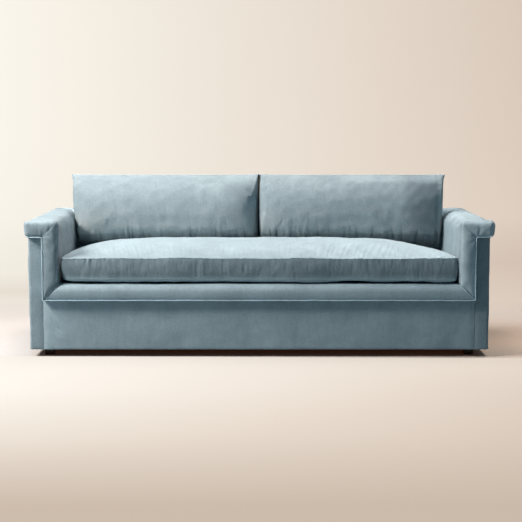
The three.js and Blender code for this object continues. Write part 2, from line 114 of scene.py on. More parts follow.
def ripple(points, wavelength, seed, waves=24):
    """Smooth random field of about unit size, the same for the same seed."""
    rng = np.random.default_rng(seed)
    directions = rng.normal(size=(waves, 3))
    directions /= np.linalg.norm(directions, axis=1)[:, None]
    steps = 2 * math.pi / wavelength * rng.uniform(0.6, 1.4, waves)
    phases = rng.uniform(0, 2 * math.pi, waves)
    turns = points @ (directions * steps[:, None]).T + phases
    return np.sin(turns).sum(axis=1) / math.sqrt(waves / 2)


def bell(distance, width):
    """Share that is 1 at a place and fades on both sides of it."""
    return np.exp(-((distance / width) ** 2))


def folds(along, distance, seed, spans, spacing, width, length):
    """Small gathers across a seam: ridges and dips at irregular places along it, which fade
    with the distance from it. spans are the (start, end, strength) stretches that have them."""
    rng = np.random.default_rng(seed)
    lift = np.zeros(len(along))
    for start, end, strength in spans:
        place = start
        while place < end:
            place += spacing * rng.uniform(0.5, 1.5)
            wide = width * rng.uniform(0.6, 1.4)
            long = length * rng.uniform(0.5, 1.5)
            height = strength * rng.uniform(-1, 1)
            lean = rng.uniform(-0.25, 0.25)
            lift += height * bell(along - place - lean * distance, wide) * bell(distance, long)
    return lift


def read(items, name):
    """Array of one vector for each item of a mesh."""
    values = np.empty(len(items) * 3)
    items.foreach_get(name, values)
    return values.reshape(-1, 3)


def read_points(mesh):
    return read(mesh.vertices, "co")


def write_points(mesh, points):
    mesh.vertices.foreach_set("co", points.ravel())
    mesh.update()


def reshape(mesh, shape):
    """Moves the points of a mesh to shape(points, normals)."""
    write_points(mesh, shape(read_points(mesh), read(mesh.vertex_normals, "vector")))


def mesh_of(points, faces):
    mesh = bpy.data.meshes.new("work")
    mesh.from_pydata([tuple(p) for p in points], [], faces)
    mesh.update()
    return mesh


def placed(name, data):
    """New object in the scene."""
    item = bpy.data.objects.new(name, data)
    bpy.context.scene.collection.objects.link(item)
    return item


def evaluated(work):
    """The mesh of a work object with its modifiers applied. The object is removed."""
    graph = bpy.context.evaluated_depsgraph_get()
    mesh = bpy.data.meshes.new_from_object(work.evaluated_get(graph))
    bpy.data.objects.remove(work)
    return mesh


def even_mesh(mesh):
    """Closed mesh divided into even squares, with its edges softened."""
    work = placed("work", mesh)
    remesh = work.modifiers.new("remesh", "REMESH")
    remesh.mode = "VOXEL"
    remesh.voxel_size = pad_voxel
    soften = work.modifiers.new("soften", "SMOOTH")
    soften.factor = 0.5
    soften.iterations = pad_smoothing
    return evaluated(work)


def puffed(mesh, held, slack, cap):
    """The points of a closed cushion after cloth simulation: its filling presses the cover
    out between the held points, and no point moves further than cap."""
    before = read_points(mesh)
    scene = bpy.context.scene
    last_frame, tiny = 15, 1e-9
    work = placed("work", mesh.copy())
    group = work.vertex_groups.new(name="held")
    group.add([int(i) for i in np.flatnonzero(held)], 1.0, "REPLACE")
    cloth = work.modifiers.new("cloth", "CLOTH")
    settings = cloth.settings
    settings.quality = 4
    settings.mass = 0.3
    settings.tension_stiffness = 20
    settings.compression_stiffness = 20
    settings.shear_stiffness = 8
    settings.bending_stiffness = 0.25
    settings.shrink_min = -slack
    settings.use_pressure = True
    settings.uniform_pressure_force = 4
    settings.vertex_group_mass = "held"
    settings.effector_weights.gravity = 0
    cloth.collision_settings.use_collision = False
    cloth.point_cache.frame_start = 1
    cloth.point_cache.frame_end = last_frame
    for number in range(1, last_frame + 1):
        scene.frame_set(number)
    moved = read_points(evaluated(work)) - before
    scene.frame_set(1)
    length = np.maximum(np.linalg.norm(moved, axis=1), tiny)
    return before + moved * (cap * np.tanh(length / cap) / length)[:, None]


def cut(mesh, point, outwards):
    """Cuts off what lies beyond a plane and closes the cut."""
    shape = bmesh.new()
    shape.from_mesh(mesh)
    whole = shape.verts[:] + shape.edges[:] + shape.faces[:]
    bmesh.ops.bisect_plane(shape, geom=whole, plane_co=point, plane_no=outwards, clear_outer=True)
    rim = [edge for edge in shape.edges if edge.is_boundary]
    bmesh.ops.edgeloop_fill(shape, edges=rim)
    bmesh.ops.recalc_face_normals(shape, faces=shape.faces[:])
    shape.to_mesh(mesh)
    shape.free()


def write_shade(mesh, shade, name="shade"):
    """Writes shade(centres, normals) on the faces, where the velvet reads it. "shade" is
    painted shade and painted light: 0 as usual, above 0 darker and below 0 lighter. "grey" is
    a painted tint that turns its blue towards grey."""
    values = shade(read(mesh.polygons, "center"), read(mesh.polygons, "normal"))
    attribute = mesh.attributes.new(name, "FLOAT", "FACE")
    attribute.data.foreach_set("value", values)


def add_piece(name, mesh, finish, body, stands_for=(), sharp=50, shade=None):
    """One finished piece that rides on a body and stands for model pieces."""
    mesh.name = name
    if shade is not None:
        write_shade(mesh, shade)
    mesh.materials.clear()
    mesh.materials.append(finish)
    mesh.shade_smooth()
    mesh.set_sharp_from_angle(angle=math.radians(sharp))
    piece = placed(name, mesh)
    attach(piece, body)
    if stands_for:
        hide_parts(*stands_for)
    return piece


def add_velvet(name, mesh, body, stands_for=(), sharp=50, shade=None):
    return add_piece(name, mesh, velvet, body, stands_for, sharp, shade)


# Outlines and lofts

def rounded(corners):
    """Closed outline through (across, up, radius) corners, each rounded by an arc."""
    steps = 6
    points = []
    for index, (across, up, radius) in enumerate(corners):
        here = np.array((across, up))
        before = np.array(corners[index - 1][:2]) - here
        after = np.array(corners[(index + 1) % len(corners)][:2]) - here
        before /= np.linalg.norm(before)
        after /= np.linalg.norm(after)
        half = math.acos(np.clip(before @ after, -1, 1)) / 2
        bisector = (before + after) / np.linalg.norm(before + after)
        centre = here + bisector * radius / math.sin(half)
        start = here + before * radius / math.tan(half) - centre
        end = here + after * radius / math.tan(half) - centre
        turn = math.pi - 2 * half
        for step in range(steps + 1):
            part = step / steps
            first = math.sin((1 - part) * turn) / math.sin(turn)
            second = math.sin(part * turn) / math.sin(turn)
            points.append(centre + first * start + second * end)
    return np.array(points)


def inset(corners, distances):
    """The corners of an anticlockwise outline whose edges have moved inwards, each by its own
    distance. Edge number i runs from corner i to the next."""
    least_radius = 0.001
    moved = []
    for index, (across, up, radius) in enumerate(corners):
        here = np.array((across, up))
        come = here - np.array(corners[index - 1][:2])
        go = np.array(corners[(index + 1) % len(corners)][:2]) - here
        normal_in = np.array((-come[1], come[0])) / np.linalg.norm(come)
        normal_out = np.array((-go[1], go[0])) / np.linalg.norm(go)
        amounts = (distances[index - 1], distances[index])
        shift = np.linalg.solve((normal_in, normal_out), amounts)
        convex = come[0] * go[1] - come[1] * go[0] > 0
        change = -min(amounts) if convex else max(amounts)
        moved.append((*(here + shift), max(radius + change, least_radius)))
    return moved


def ring_faces(base, further, count):
    """Faces between two rings of points, given the number of the first point of each."""
    ahead = [(i + 1) % count for i in range(count)]
    return [(base + i, base + j, further + j, further + i) for i, j in enumerate(ahead)]


def loft(loops, closed=False):
    """Mesh through a row of loops with as many points each. Its ends are capped, or they join
    each other."""
    count, rings = len(loops[0]), len(loops)
    faces = []
    for ring in range(rings if closed else rings - 1):
        faces += ring_faces(ring * count, (ring + 1) % rings * count, count)
    if not closed:
        last = (rings - 1) * count
        faces.append(tuple(reversed(range(count))))
        faces.append(tuple(range(last, last + count)))
    return mesh_of(np.concatenate(loops), faces)


def rim_indices(columns, rows):
    """Walk round the edge of a grid of points, anticlockwise, as (column, row)."""
    rim = [(i, 0) for i in range(columns - 1)]
    rim += [(columns - 1, j) for j in range(rows - 1)]
    rim += [(i, rows - 1) for i in range(columns - 1, 0, -1)]
    rim += [(0, j) for j in range(rows - 1, 0, -1)]
    return rim


def grid_squares(columns, rows):
    """The squares of a grid of points, each as its four (column, row) corners."""
    starts = [(i, j) for i in range(columns - 1) for j in range(rows - 1)]
    return [((i, j), (i + 1, j), (i + 1, j + 1), (i, j + 1)) for i, j in starts]


def slab(outer, inner, columns, rows):
    """Closed mesh between two grids of points, each given row by row."""
    total = columns * rows
    faces = []
    for row in range(rows - 1):
        for i in range(columns - 1):
            a = row * columns + i
            quad = (a, a + 1, a + columns + 1, a + columns)
            faces.append(quad)
            faces.append(tuple(total + corner for corner in reversed(quad)))
    rim = [row * columns + i for i, row in rim_indices(columns, rows)]
    for here, there in zip(rim, rim[1:] + rim[:1]):
        faces.append((there, here, total + here, total + there))
    return mesh_of(np.concatenate((outer, inner)), faces)


def spread(count, evenness):
    """Places from -1 to 1, closer together towards the ends."""
    t = np.linspace(-1, 1, count)
    return evenness * t + (1 - evenness) * np.sin(t * math.pi / 2)


def rising(distance, reach, power):
    """Share that rises from 0 at a seam to 1 at a distance from it, steepest at the seam."""
    return 1 - np.clip(1 - distance / reach, 0, 1) ** power


def edge_distance(across, up, corners):
    """Distance from each point to the nearest edge of an outline."""
    nearest = np.full(len(across), np.inf)
    for index, (a, b) in enumerate(corners):
        c, d = corners[(index + 1) % len(corners)]
        length = math.hypot(c - a, d - b)
        part = np.clip(((across - a) * (c - a) + (up - b) * (d - b)) / length**2, 0, 1)
        reach = np.hypot(across - a - part * (c - a), up - b - part * (d - b))
        nearest = np.minimum(nearest, reach)
    return nearest


def tube(path, radius, closed=False, sides=8):
    """Thin cord of sewn cloth along a path."""
    path = np.array(path)
    if closed:
        ahead = np.roll(path, -1, axis=0)
        behind = np.roll(path, 1, axis=0)
    else:
        ahead = np.vstack((path[1:], 2 * path[-1] - path[-2]))
        behind = np.vstack((2 * path[0] - path[1], path[:-1]))
    tangent = ahead - behind
    tangent /= np.linalg.norm(tangent, axis=1)[:, None]
    any_direction = (0.31, 0.52, 0.79)
    normal = np.cross(tangent[0], any_direction)
    loops = []
    for point, direction in zip(path, tangent):
        normal = normal - direction * (normal @ direction)
        normal /= np.linalg.norm(normal)
        other = np.cross(direction, normal)
        angles = np.arange(sides) * 2 * math.pi / sides
        ring = np.cos(angles)[:, None] * normal + np.sin(angles)[:, None] * other
        loops.append(point + radius * ring)
    return loft(loops, closed)


def along_path(corners, step):
    """Points at even steps along a broken line."""
    points = []
    for start, end in zip(corners, corners[1:]):
        start, end = np.array(start, float), np.array(end, float)
        count = max(1, round(np.linalg.norm(end - start) / step))
        points += [start + (end - start) * i / count for i in range(count)]
    points.append(np.array(corners[-1], float))
    return np.array(points)


# Materials

class Finish:
    """A material under construction, with its nodes and main shader."""

    def __init__(self, name, settings):
        self.material = bpy.data.materials.new(name)
        self.material.use_nodes = True
        self.tree = self.material.node_tree
        self.shader = self.tree.nodes["Principled BSDF"]
        for key, value in settings.items():
            self.shader.inputs[key].default_value = value
        self.place = self.tree.nodes.new("ShaderNodeTexCoord").outputs["Object"]

    def node(self, kind, inputs=None, **settings):
        made = self.tree.nodes.new(kind)
        for name, value in settings.items():
            setattr(made, name, value)
        for name, value in (inputs or {}).items():
            if isinstance(value, bpy.types.NodeSocket):
                self.tree.links.new(value, made.inputs[name])
            else:
                made.inputs[name].default_value = value
        return made

    def stretched(self, scale):
        """Coordinates stretched along an axis, so that a pattern runs that way."""
        return self.node("ShaderNodeMapping", {"Vector": self.place, "Scale": scale}).outputs["Vector"]

    def noise(self, scale, detail=3.0, roughness=0.55, place=None, distortion=0.0):
        inputs = {
            "Vector": place or self.place,
            "Scale": scale,
            "Detail": detail,
            "Roughness": roughness,
            "Distortion": distortion,
        }
        return self.node("ShaderNodeTexNoise", inputs).outputs["Fac"]

    def ramp(self, value, stops):
        made = self.node("ShaderNodeValToRGB", {"Fac": value})
        elements = made.color_ramp.elements
        while len(elements) < len(stops):
            elements.new(0.5)
        for element, (position, color) in zip(elements, stops):
            element.position = position
            element.color = (*color, 1)
        return made.outputs["Color"]

    def math(self, operation, first, second=0.0, third=0.0):
        made = self.node("ShaderNodeMath", {0: first, 1: second, 2: third}, operation=operation)
        return made.outputs["Value"]

    def scaled(self, value, factor, added=0.0):
        return self.math("MULTIPLY_ADD", value, factor, added)

    def mix(self, share, first, second, blend="MIX"):
        share_socket, color_sockets, mixed_socket = 0, (6, 7), 2
        inputs = {share_socket: share}
        for index, color in zip(color_sockets, (first, second)):
            inputs[index] = (*color, 1) if isinstance(color, tuple) else color
        made = self.node("ShaderNodeMix", inputs, data_type="RGBA", blend_type=blend)
        return made.outputs[mixed_socket]

    def bump(self, height, strength, distance, below=None):
        inputs = {"Height": height, "Strength": strength, "Distance": distance}
        if below is not None:
            inputs["Normal"] = below
        return self.node("ShaderNodeBump", inputs).outputs["Normal"]

    def finish(self, color=None, roughness=None, normal=None):
        for name, value in (("Base Color", color), ("Roughness", roughness), ("Normal", normal)):
            if value is not None:
                self.tree.links.new(value, self.shader.inputs[name])
        return self.material


def velvet_finish(name="velvet", tone=1.0):
    """Short-pile velvet: brushed patches, fine upright streaks and tufts in its nap. The marks
    on a mesh's faces paint shade, light and a grey tint onto it there."""
    made = Finish(name, {
        "Sheen Weight": 0.12,
        "Sheen Roughness": 0.35,
        "Sheen Tint": (1.0, 0.98, 0.94, 1),
        "Specular IOR Level": 0.2,
    })
    patches = made.noise(8.0, 7.0, 0.68, distortion=0.7)
    streaks = made.noise(1.0, 4.0, 0.65, place=made.stretched((60, 60, 9)))
    tufts = made.noise(110.0, 3.0, 0.75)
    grain = made.noise(1400.0, 2.0)
    nap = made.scaled(patches, 0.47, made.scaled(streaks, 0.17))
    nap = made.scaled(tufts, 0.36, nap)
    blues = [
        (0.34, (0.285, 0.390, 0.448)), (0.50, (0.362, 0.488, 0.552)), (0.66, (0.440, 0.582, 0.650))]
    color = made.ramp(nap, [(place, [tone * part for part in blue]) for place, blue in blues])
    speckle = made.ramp(grain, [(0.3, (0.86, 0.86, 0.86)), (0.7, (1.0, 1.0, 1.0))])
    color = made.mix(0.7, color, speckle, "MULTIPLY")
    shade = made.node("ShaderNodeAttribute", attribute_name="shade").outputs["Fac"]
    grey = made.node("ShaderNodeAttribute", attribute_name="grey").outputs["Fac"]
    bright = made.scaled(shade, -1.0, 1.0)
    grey = made.math("MULTIPLY", grey, bright)
    # Painted shade and painted light: the faces' marks darken, lighten and grey the colour
    painted_shading = made.node("ShaderNodeCombineColor", {
        "Red": made.scaled(shade, -1.05, made.math("ADD", grey, 1.0)),
        "Green": bright,
        "Blue": made.scaled(shade, -0.97, made.scaled(grey, -0.5, 1.0)),
    })
    color = made.mix(1.0, color, painted_shading.outputs["Color"], "MULTIPLY")
    crush = made.bump(made.noise(45.0, 5.0, 0.7, distortion=0.6), 0.5, 0.0018)
    tufted = made.bump(tufts, 0.5, 0.0012, below=crush)
    return made.finish(color, made.scaled(nap, 0.2, 0.72), made.bump(grain, 0.25, 0.0004, below=tufted))


def dark_wood_finish():
    """Dark brown stained wood with an upright grain."""
    made = Finish("foot_wood", {"Specular IOR Level": 0.25})
    grain = made.noise(30.0, 6.0, 0.65, place=made.stretched((4, 4, 0.5)), distortion=1.2)
    color = made.ramp(grain, [
        (0.3, (0.026, 0.013, 0.005)), (0.6, (0.050, 0.025, 0.009)), (0.8, (0.082, 0.041, 0.016))])
    return made.finish(color, made.scaled(grain, 0.25, 0.3), made.bump(grain, 0.3, 0.0006))


def timber_finish(name, stretch):
    """Bare sawn timber with its grain along one axis."""
    made = Finish(name, {})
    rings = made.noise(9.0, 8.0, 0.6, place=made.stretched(stretch), distortion=0.9)
    fibres = made.noise(70.0, 3.0, 0.6, place=made.stretched(stretch))
    color = made.ramp(rings, [
        (0.30, (0.42, 0.245, 0.110)), (0.5, (0.60, 0.40, 0.215)), (0.72, (0.71, 0.52, 0.315))])
    streaks = made.ramp(fibres, [(0.35, (0.6, 0.6, 0.6)), (0.65, (1, 1, 1))])
    color = made.mix(0.35, color, streaks, "MULTIPLY")
    return made.finish(color, made.scaled(fibres, 0.2, 0.65), made.bump(fibres, 0.4, 0.0006))


def board_finish():
    """Pressed fibre board, speckled with light and dark fibres."""
    made = Finish("fibre_board", {"Roughness": 0.9})
    flecks = made.noise(260.0, 4.0, 0.7)
    color = made.ramp(flecks, [
        (0.35, (0.21, 0.135, 0.075)), (0.55, (0.34, 0.235, 0.14)), (0.7, (0.47, 0.35, 0.22))])
    return made.finish(color, None, made.bump(flecks, 0.5, 0.0005))


def woven_finish(name, dark, light, pitch, roughness=0.9):
    """Plain weave: threads over and under in both directions."""
    made = Finish(name, {"Roughness": roughness})
    turns = 2 * math.pi / pitch
    split = made.node("ShaderNodeSeparateXYZ", {"Vector": made.place})
    across = made.math("ADD", split.outputs["X"], split.outputs["Y"])
    upwards = made.math("ADD", split.outputs["Z"], split.outputs["Y"])
    warp = made.math("SINE", made.scaled(across, turns))
    weft = made.math("SINE", made.scaled(upwards, turns))
    height = made.scaled(made.math("MULTIPLY", warp, weft), 0.4, made.noise(900.0, 2.0))
    color = made.ramp(height, [(0.1, dark), (0.9, light)])
    return made.finish(color, None, made.bump(height, 0.6, 0.0006))


def steel_finish():
    """Drawn spring wire, with a thin dull oxide in places."""
    made = Finish("steel", {"Metallic": 1.0})
    marks = made.noise(90.0, 5.0, 0.65)
    color = made.ramp(marks, [(0.35, (0.24, 0.235, 0.23)), (0.65, (0.52, 0.53, 0.55))])
    return made.finish(color, made.scaled(marks, 0.4, 0.15), made.bump(marks, 0.2, 0.0003))


velvet = velvet_finish()
# A lighter copy of the velvet, a painted highlight for the welts
velvet_painted_highlight = velvet_finish("velvet_painted_highlight", 1.6)
dark_wood = dark_wood_finish()
timbers = (
    timber_finish("timber_across", (0.6, 6, 6)),
    timber_finish("timber_along", (6, 0.6, 6)),
    timber_finish("timber_up", (6, 6, 0.6)),
)
fibre_board = board_finish()
webbing = woven_finish("webbing", (0.46, 0.41, 0.33), (0.78, 0.73, 0.64), 0.006)
black_cloth = woven_finish("black_cloth", (0.006, 0.006, 0.007), (0.03, 0.03, 0.033), 0.004)
foam = woven_finish("filling", (0.62, 0.56, 0.38), (0.82, 0.77, 0.60), 0.005)
deck_cloth = woven_finish("deck_cloth", (0.012, 0.013, 0.014), (0.05, 0.052, 0.056), 0.006)
zip_tape = woven_finish("zip_tape", (0.075, 0.105, 0.125), (0.15, 0.20, 0.23), 0.003)
zip_teeth = woven_finish("zip_teeth", (0.045, 0.065, 0.078), (0.09, 0.12, 0.14), 0.010, 0.35)
steel = steel_finish()


# Padded arms, back and front rail

def pad_surface(loops, shape):
    """Even mesh of a pad through its loops, with shape(points, normals) as its new points."""
    pad = even_mesh(loft(loops))
    reshape(pad, shape)
    return pad


def drawn_in(offset):
    """How far a mitre draws the cloth in. offset is how far across or up from it a point lies."""
    distance = np.abs(offset) / math.sqrt(2)
    return seam_pinch * np.clip(1 - distance / seam_pinch_reach, 0, 1) ** 2


def at_front(along):
    """Share that is 1 on the sewn front of an arm or the rail and 0 behind it."""
    return smooth_step(front + 0.02, front + 0.006, along)


def soft_unevenness(points, normals, seed):
    """Slight waves that wadding under cloth leaves on a flat pad."""
    waves = 0.0012 * ripple(points, 0.16, seed) + 0.0005 * ripple(points, 0.05, seed + 1)
    return points + normals * waves[:, None]


def pad_corners(fullness, taper, outer, inner):
    """Section of the band and cap of an arm or the back: (outwards from its inner face, up,
    radius)."""
    sharp, slight = 0.001, 0.003
    return [
        (0, rail_bottom - overhang, sharp),
        (band_width, rail_bottom - overhang, sharp),
        (band_width, cap_bottom, slight),
        (cap_width + fullness - taper, cap_bottom, cap_lower_radius),
        (cap_width + fullness, arm_top, outer),
        (0, arm_top, inner),
    ]


def arm_corners(along):
    """Section of an arm at one place along it. Its corners are tight at the sewn front and
    full behind it."""
    full = smooth_step(front + 0.01, front + 0.16, along)
    inner = front_corner_radius + (inner_top_radius - front_corner_radius) * full
    outer = front_corner_radius + (outer_top_radius - front_corner_radius) * full
    return pad_corners(cap_fullness, cap_taper, outer, inner)


def arm_loops(side):
    """Outlines from the front of an arm to its rear. The soft edges of its front are rolled
    over widely, and the welted ones tightly."""
    soft, welted = soft_edge_radius, welted_edge_radius
    radii = np.array((welted, welted, welted, soft, soft, soft))
    bevel_steps, straight_steps = 5, 26
    stations = []
    for step in range(bevel_steps + 1):
        turn = math.pi / 2 * (1 - step / bevel_steps)
        stations.append((front + soft * (1 - math.sin(turn)), radii * (1 - math.cos(turn))))
    first, last = front + 1.5 * soft, rear + overhang
    for step in range(straight_steps + 1):
        stations.append((first + (last - first) * step / straight_steps, 0 * radii))
    loops = []
    for along, inwards in stations:
        outline = rounded(inset(arm_corners(along), inwards))
        loops.append(np.insert(outline * (side, 1) + (side * band_inner, 0), 1, along, axis=1))
    return loops


def arm_shape(side):
    """How an arm's pad swells, gathers and is drawn in at its seams."""
    panel = [
        (0, rail_top), (0, arm_top), (cap_width, arm_top), (cap_width, cap_bottom),
        (band_width, cap_bottom), (band_width, rail_bottom),
    ]
    seed, fan_turn = (11, 0.8) if side == LEFT else (23, 2.1)
    crown_drop, fan_depth, mitre_depth = 0.010, 0.0016, 0.0032
    fan_reach, fan_start, mitre_reach = 0.05, 0.012, 0.006

    def shape(points, normals):
        across = side * points[:, 0] - band_inner
        along, up = points[:, 1], points[:, 2]
        new = soft_unevenness(points, normals, seed)
        # The top is fullest along its middle
        from_middle = (across - cap_width / 2) / (cap_width / 2)
        crown = smooth_step(cap_bottom, arm_top, up) * smooth_step(front, front + 0.1, along)
        new[:, 2] -= crown_drop * crown * from_middle**2
        # The sewn front swells between its seams
        is_front = smooth_step(0.3, 0.9, -normals[:, 1]) * at_front(along)
        inside = edge_distance(across, up, panel)
        swell = band_swell * np.sin(math.pi / 2 * np.clip(inside / (band_width / 2), 0, 1))
        # Folds run out from the inner corner of the cap
        from_corner = np.hypot(across - band_width, up - cap_bottom)
        around = np.arctan2(up - cap_bottom, band_width - across)
        fan = np.cos(7 * around + fan_turn) * bell(from_corner, fan_reach)
        fan *= 1 - bell(from_corner, fan_start)
        pleats = folds(across, arm_top - up, 5 + side, [(0.02, 0.16, 0.0022)], 0.012, 0.006, 0.05)
        puckers = folds(up, across, 7 + side, [(0.38, 0.66, 0.0010)], 0.012, 0.006, 0.02)
        # The band is mitred at the cap
        line = (across - band_width) + (up - cap_bottom) * band_width / (arm_top - cap_bottom)
        in_cap = smooth_step(cap_bottom - 0.004, cap_bottom + 0.004, up)
        mitre = in_cap * bell(line, mitre_reach)
        new[:, 1] -= is_front * (swell + fan_depth * fan + pleats + puckers - mitre_depth * mitre)
        # The mitres with the rail and, across the top, with the back draw both sides in
        new -= normals * drawn_in(across + up - rail_top)[:, None]
        dip = drawn_in((along - back_inner) - across)
        new -= normals * (dip * smooth_step(0.5, 0.9, normals[:, 2]))[:, None]
        return new

    return shape


def arm_shade(side):
    """Painted shade and light on an arm, by which way each face turns: its inner face is painted
    darker, its front darker on the left, less so at the cap, and lighter on the right, the top
    of the left arm darker and the outer end of the right cap lighter. Its rolled edges get a
    painted highlight in dashes."""
    if side == LEFT:
        inner, ahead, above, edge, capped, outer = 0.43, 0.28, 0.10, 0.72, 0.11, 0.0
    else:
        inner, ahead, above, edge, capped, outer = 0.31, -0.22, 0.0, 0.30, 0.0, 0.34

    def shade(centres, normals):
        inwards, forwards, upwards, outwards = (
            smooth_step(0.3, 0.95, facing)
            for facing in (-side * normals[:, 0], -normals[:, 1], normals[:, 2], side * normals[:, 0])
        )
        in_cap = smooth_step(cap_bottom - 0.01, cap_bottom + 0.02, centres[:, 2])
        rolled = np.minimum(forwards, inwards) + 0.4 * np.minimum(forwards, upwards)
        # Painted highlight along the rolled edges, broken into dashes
        painted_highlight = 1 + 0.35 * ripple(centres, 0.025, 17, 8)
        painted_shading = inner * inwards + (ahead - capped * in_cap) * forwards + above * upwards
        return painted_shading - edge * rolled * painted_highlight - outer * outwards

    return shade


def make_arm_pad(side, label):
    pad = pad_surface(arm_loops(side), arm_shape(side))
    cut(pad, (side * band_inner, back_inner, rail_top), (-side, 1, 0))
    cut(pad, (side * band_inner, 0, rail_top), (-side, 0, -1))
    stands_for = [f"{label}_arm_pad"]
    add_velvet(f"{label}_arm_padding", pad, "frame", stands_for, shade=arm_shade(side))


def make_back_pad():
    outline = rounded(pad_corners(0, 0, outer_top_radius, inner_top_radius)) + (back_inner, 0)
    places = np.linspace(-half_width - overhang, half_width + overhang, 40)
    crown_drop = 0.007

    def shape(points, normals):
        across = points[:, 1] - back_inner
        new = soft_unevenness(points, normals, 37)
        from_middle = (across - cap_width / 2) / (cap_width / 2)
        new[:, 2] -= crown_drop * smooth_step(cap_bottom, arm_top, points[:, 2]) * from_middle**2
        dip = drawn_in(across - (np.abs(points[:, 0]) - band_inner))
        return new - normals * (dip * smooth_step(0.5, 0.9, normals[:, 2]))[:, None]

    pad = pad_surface([np.insert(outline, 0, x, axis=1) for x in places], shape)
    for side in (LEFT, RIGHT):
        cut(pad, (side * band_inner, back_inner, rail_top), (side, -1, 0))
    cut(pad, (0, back_inner, rail_bottom), (0, 0, -1))
    add_velvet("back_padding", pad, "frame", ["back_pad"])


def rail_shade(centres, normals):
    """Painted light on the front rail: lighter all over, most of all along its lower half."""
    lighter, lighter_below = 0.08, 0.10
    height = (centres[:, 2] - rail_bottom) / (rail_top - rail_bottom)
    return -lighter - lighter_below * smooth_step(0.6, 0.3, height)


def make_rail_pad():
    outline = rounded([
        (front, rail_bottom, welted_edge_radius),
        (rail_rear, rail_bottom, 0.002),
        (rail_rear, rail_top, 0.006),
        (front, rail_top, rail_top_radius),
    ])
    places = np.linspace(-band_outer - 0.02, band_outer + 0.02, 40)

    def shape(points, normals):
        new = points + normals * (0.0007 * ripple(points, 0.25, 41))[:, None]
        height = np.clip((points[:, 2] - rail_bottom) / (rail_top - rail_bottom), 0, 1)
        new[:, 1] -= at_front(points[:, 1]) * band_swell * np.sin(math.pi * height)
        dip = drawn_in(np.abs(points[:, 0]) - band_inner + points[:, 2] - rail_top)
        return new - normals * dip[:, None]

    pad = pad_surface([np.insert(outline, 0, x, axis=1) for x in places], shape)
    for side in (LEFT, RIGHT):
        cut(pad, (side * band_inner, front, rail_top), (side, 0, 1))
    add_velvet("front_rail_padding", pad, "frame", ["front_rail_pad"], shade=rail_shade)


# Welts: the sewn edges of the front panels

def add_welt(name, corners, body="frame"):
    path = along_path(corners, 0.008)
    path += 0.0004 * np.column_stack([ripple(path, 0.07, seed) for seed in (1, 2, 3)])
    # The welt is painted lighter, a painted highlight along the sewn edge
    add_piece(name, tube(path, welt_radius), velvet_painted_highlight, body)


def add_mitre_seam(side, label):
    """Sewn seam in the mitre between an arm's band and the rail. It is painted dark on the left,
    a painted shade line, and light on the right, a painted highlight."""
    # Painted shade on the left seam, painted highlight on the right one
    painted_shading = 0.7 if side == LEFT else -0.75
    sunk, start, end, steps = 0.0012, 0.06, 0.96, 24
    points = []
    for part in np.linspace(start, end, steps):
        swell = band_swell * math.sin(math.pi * (1 - part))
        x = side * (band_inner + band_width * part)
        points.append((x, front + sunk - swell, rail_top - (rail_top - rail_bottom) * part))

    def shade(centres, normals):
        return np.full(len(centres), painted_shading)

    add_velvet(f"{label}_mitre_seam", tube(points, seam_radius), "frame", shade=shade)


def make_welts():
    """Piped edges: along the rail's lower edge, up the outer edge of each band and out along
    the lower edge of its cap."""
    y = front - 0.3 * welted_edge_radius
    tuck = 0.35 * welted_edge_radius
    low, high = rail_bottom + tuck, cap_bottom + tuck
    outer = band_outer - tuck
    tip = half_width - cap_taper - cap_lower_radius
    corner_radius = 0.006
    corners = np.array([
        (outer, y, low),
        (outer, y, high - corner_radius),
        (outer + 0.3 * corner_radius, y, high - 0.3 * corner_radius),
        (outer + corner_radius, y, high),
        (tip, y, high),
        (tip + 0.7 * cap_lower_radius, y, high + 0.3 * cap_lower_radius),
    ])
    for side, label in both_sides:
        add_welt(f"{label}_band_welt", corners * (side, 1, 1))
        add_mitre_seam(side, label)
    add_welt("rail_welt", [(-outer, y, low), (outer, y, low)])


# Outer covers

def panel(plan, high_z, name, stands_for, seed, dark, rows=56, lighter_end=0.0):
    """Taut cloth panel that follows a line in plan, with its edges turned in. The outer face
    is on the right of the line. dark is how much painted shade darkens it, lighter_end how much
    painted light lightens it at its far left, and its turned top and bottom edges get a painted
    highlight."""
    plan = np.array(plan)
    tangent = np.gradient(plan, axis=0)
    tangent /= np.linalg.norm(tangent, axis=1)[:, None]
    outwards = np.column_stack((tangent[:, 1], -tangent[:, 0]))
    roll, slight, end_share = 0.003, 0.3, 0.4
    low, high = cover_bottom + roll, high_z - roll
    lowest = [cover_bottom, cover_bottom + roll * end_share]
    highest = [high_z - roll * end_share, high_z]
    heights = np.concatenate((lowest, np.linspace(low, high, rows), highest))
    turned = np.concatenate(([roll, roll * slight], np.zeros(rows), [roll * slight, roll]))
    side_turn = np.zeros(len(plan))
    side_turn[[0, -1]] = roll
    side_turn[[1, -2]] = roll * slight
    outer, inner = [], []
    for height, inwards in zip(heights, turned):
        depth = np.maximum(inwards, side_turn)
        outer.append(np.insert(plan - outwards * depth[:, None], 2, height, axis=1))
        inner.append(np.insert(plan - outwards * cover_thickness, 2, height, axis=1))
    outer, inner = np.concatenate(outer), np.concatenate(inner)
    waves = 0.0008 * ripple(outer, 0.22, seed) + 0.0003 * ripple(outer, 0.07, seed + 1)
    push = np.insert(np.tile(outwards, (len(heights), 1)), 2, 0, axis=1)
    mesh = slab(outer + push * waves[:, None], inner, len(plan), len(heights))

    def shade(centres, normals):
        # Painted highlight on the turned-in top and bottom edges
        painted_highlight = (centres[:, 2] < low) | (centres[:, 2] > high)
        return dark - 0.45 * painted_highlight - lighter_end * smooth_step(-0.90, -1.02, centres[:, 0])

    add_velvet(name, mesh, "frame", stands_for, sharp=60, shade=shade)


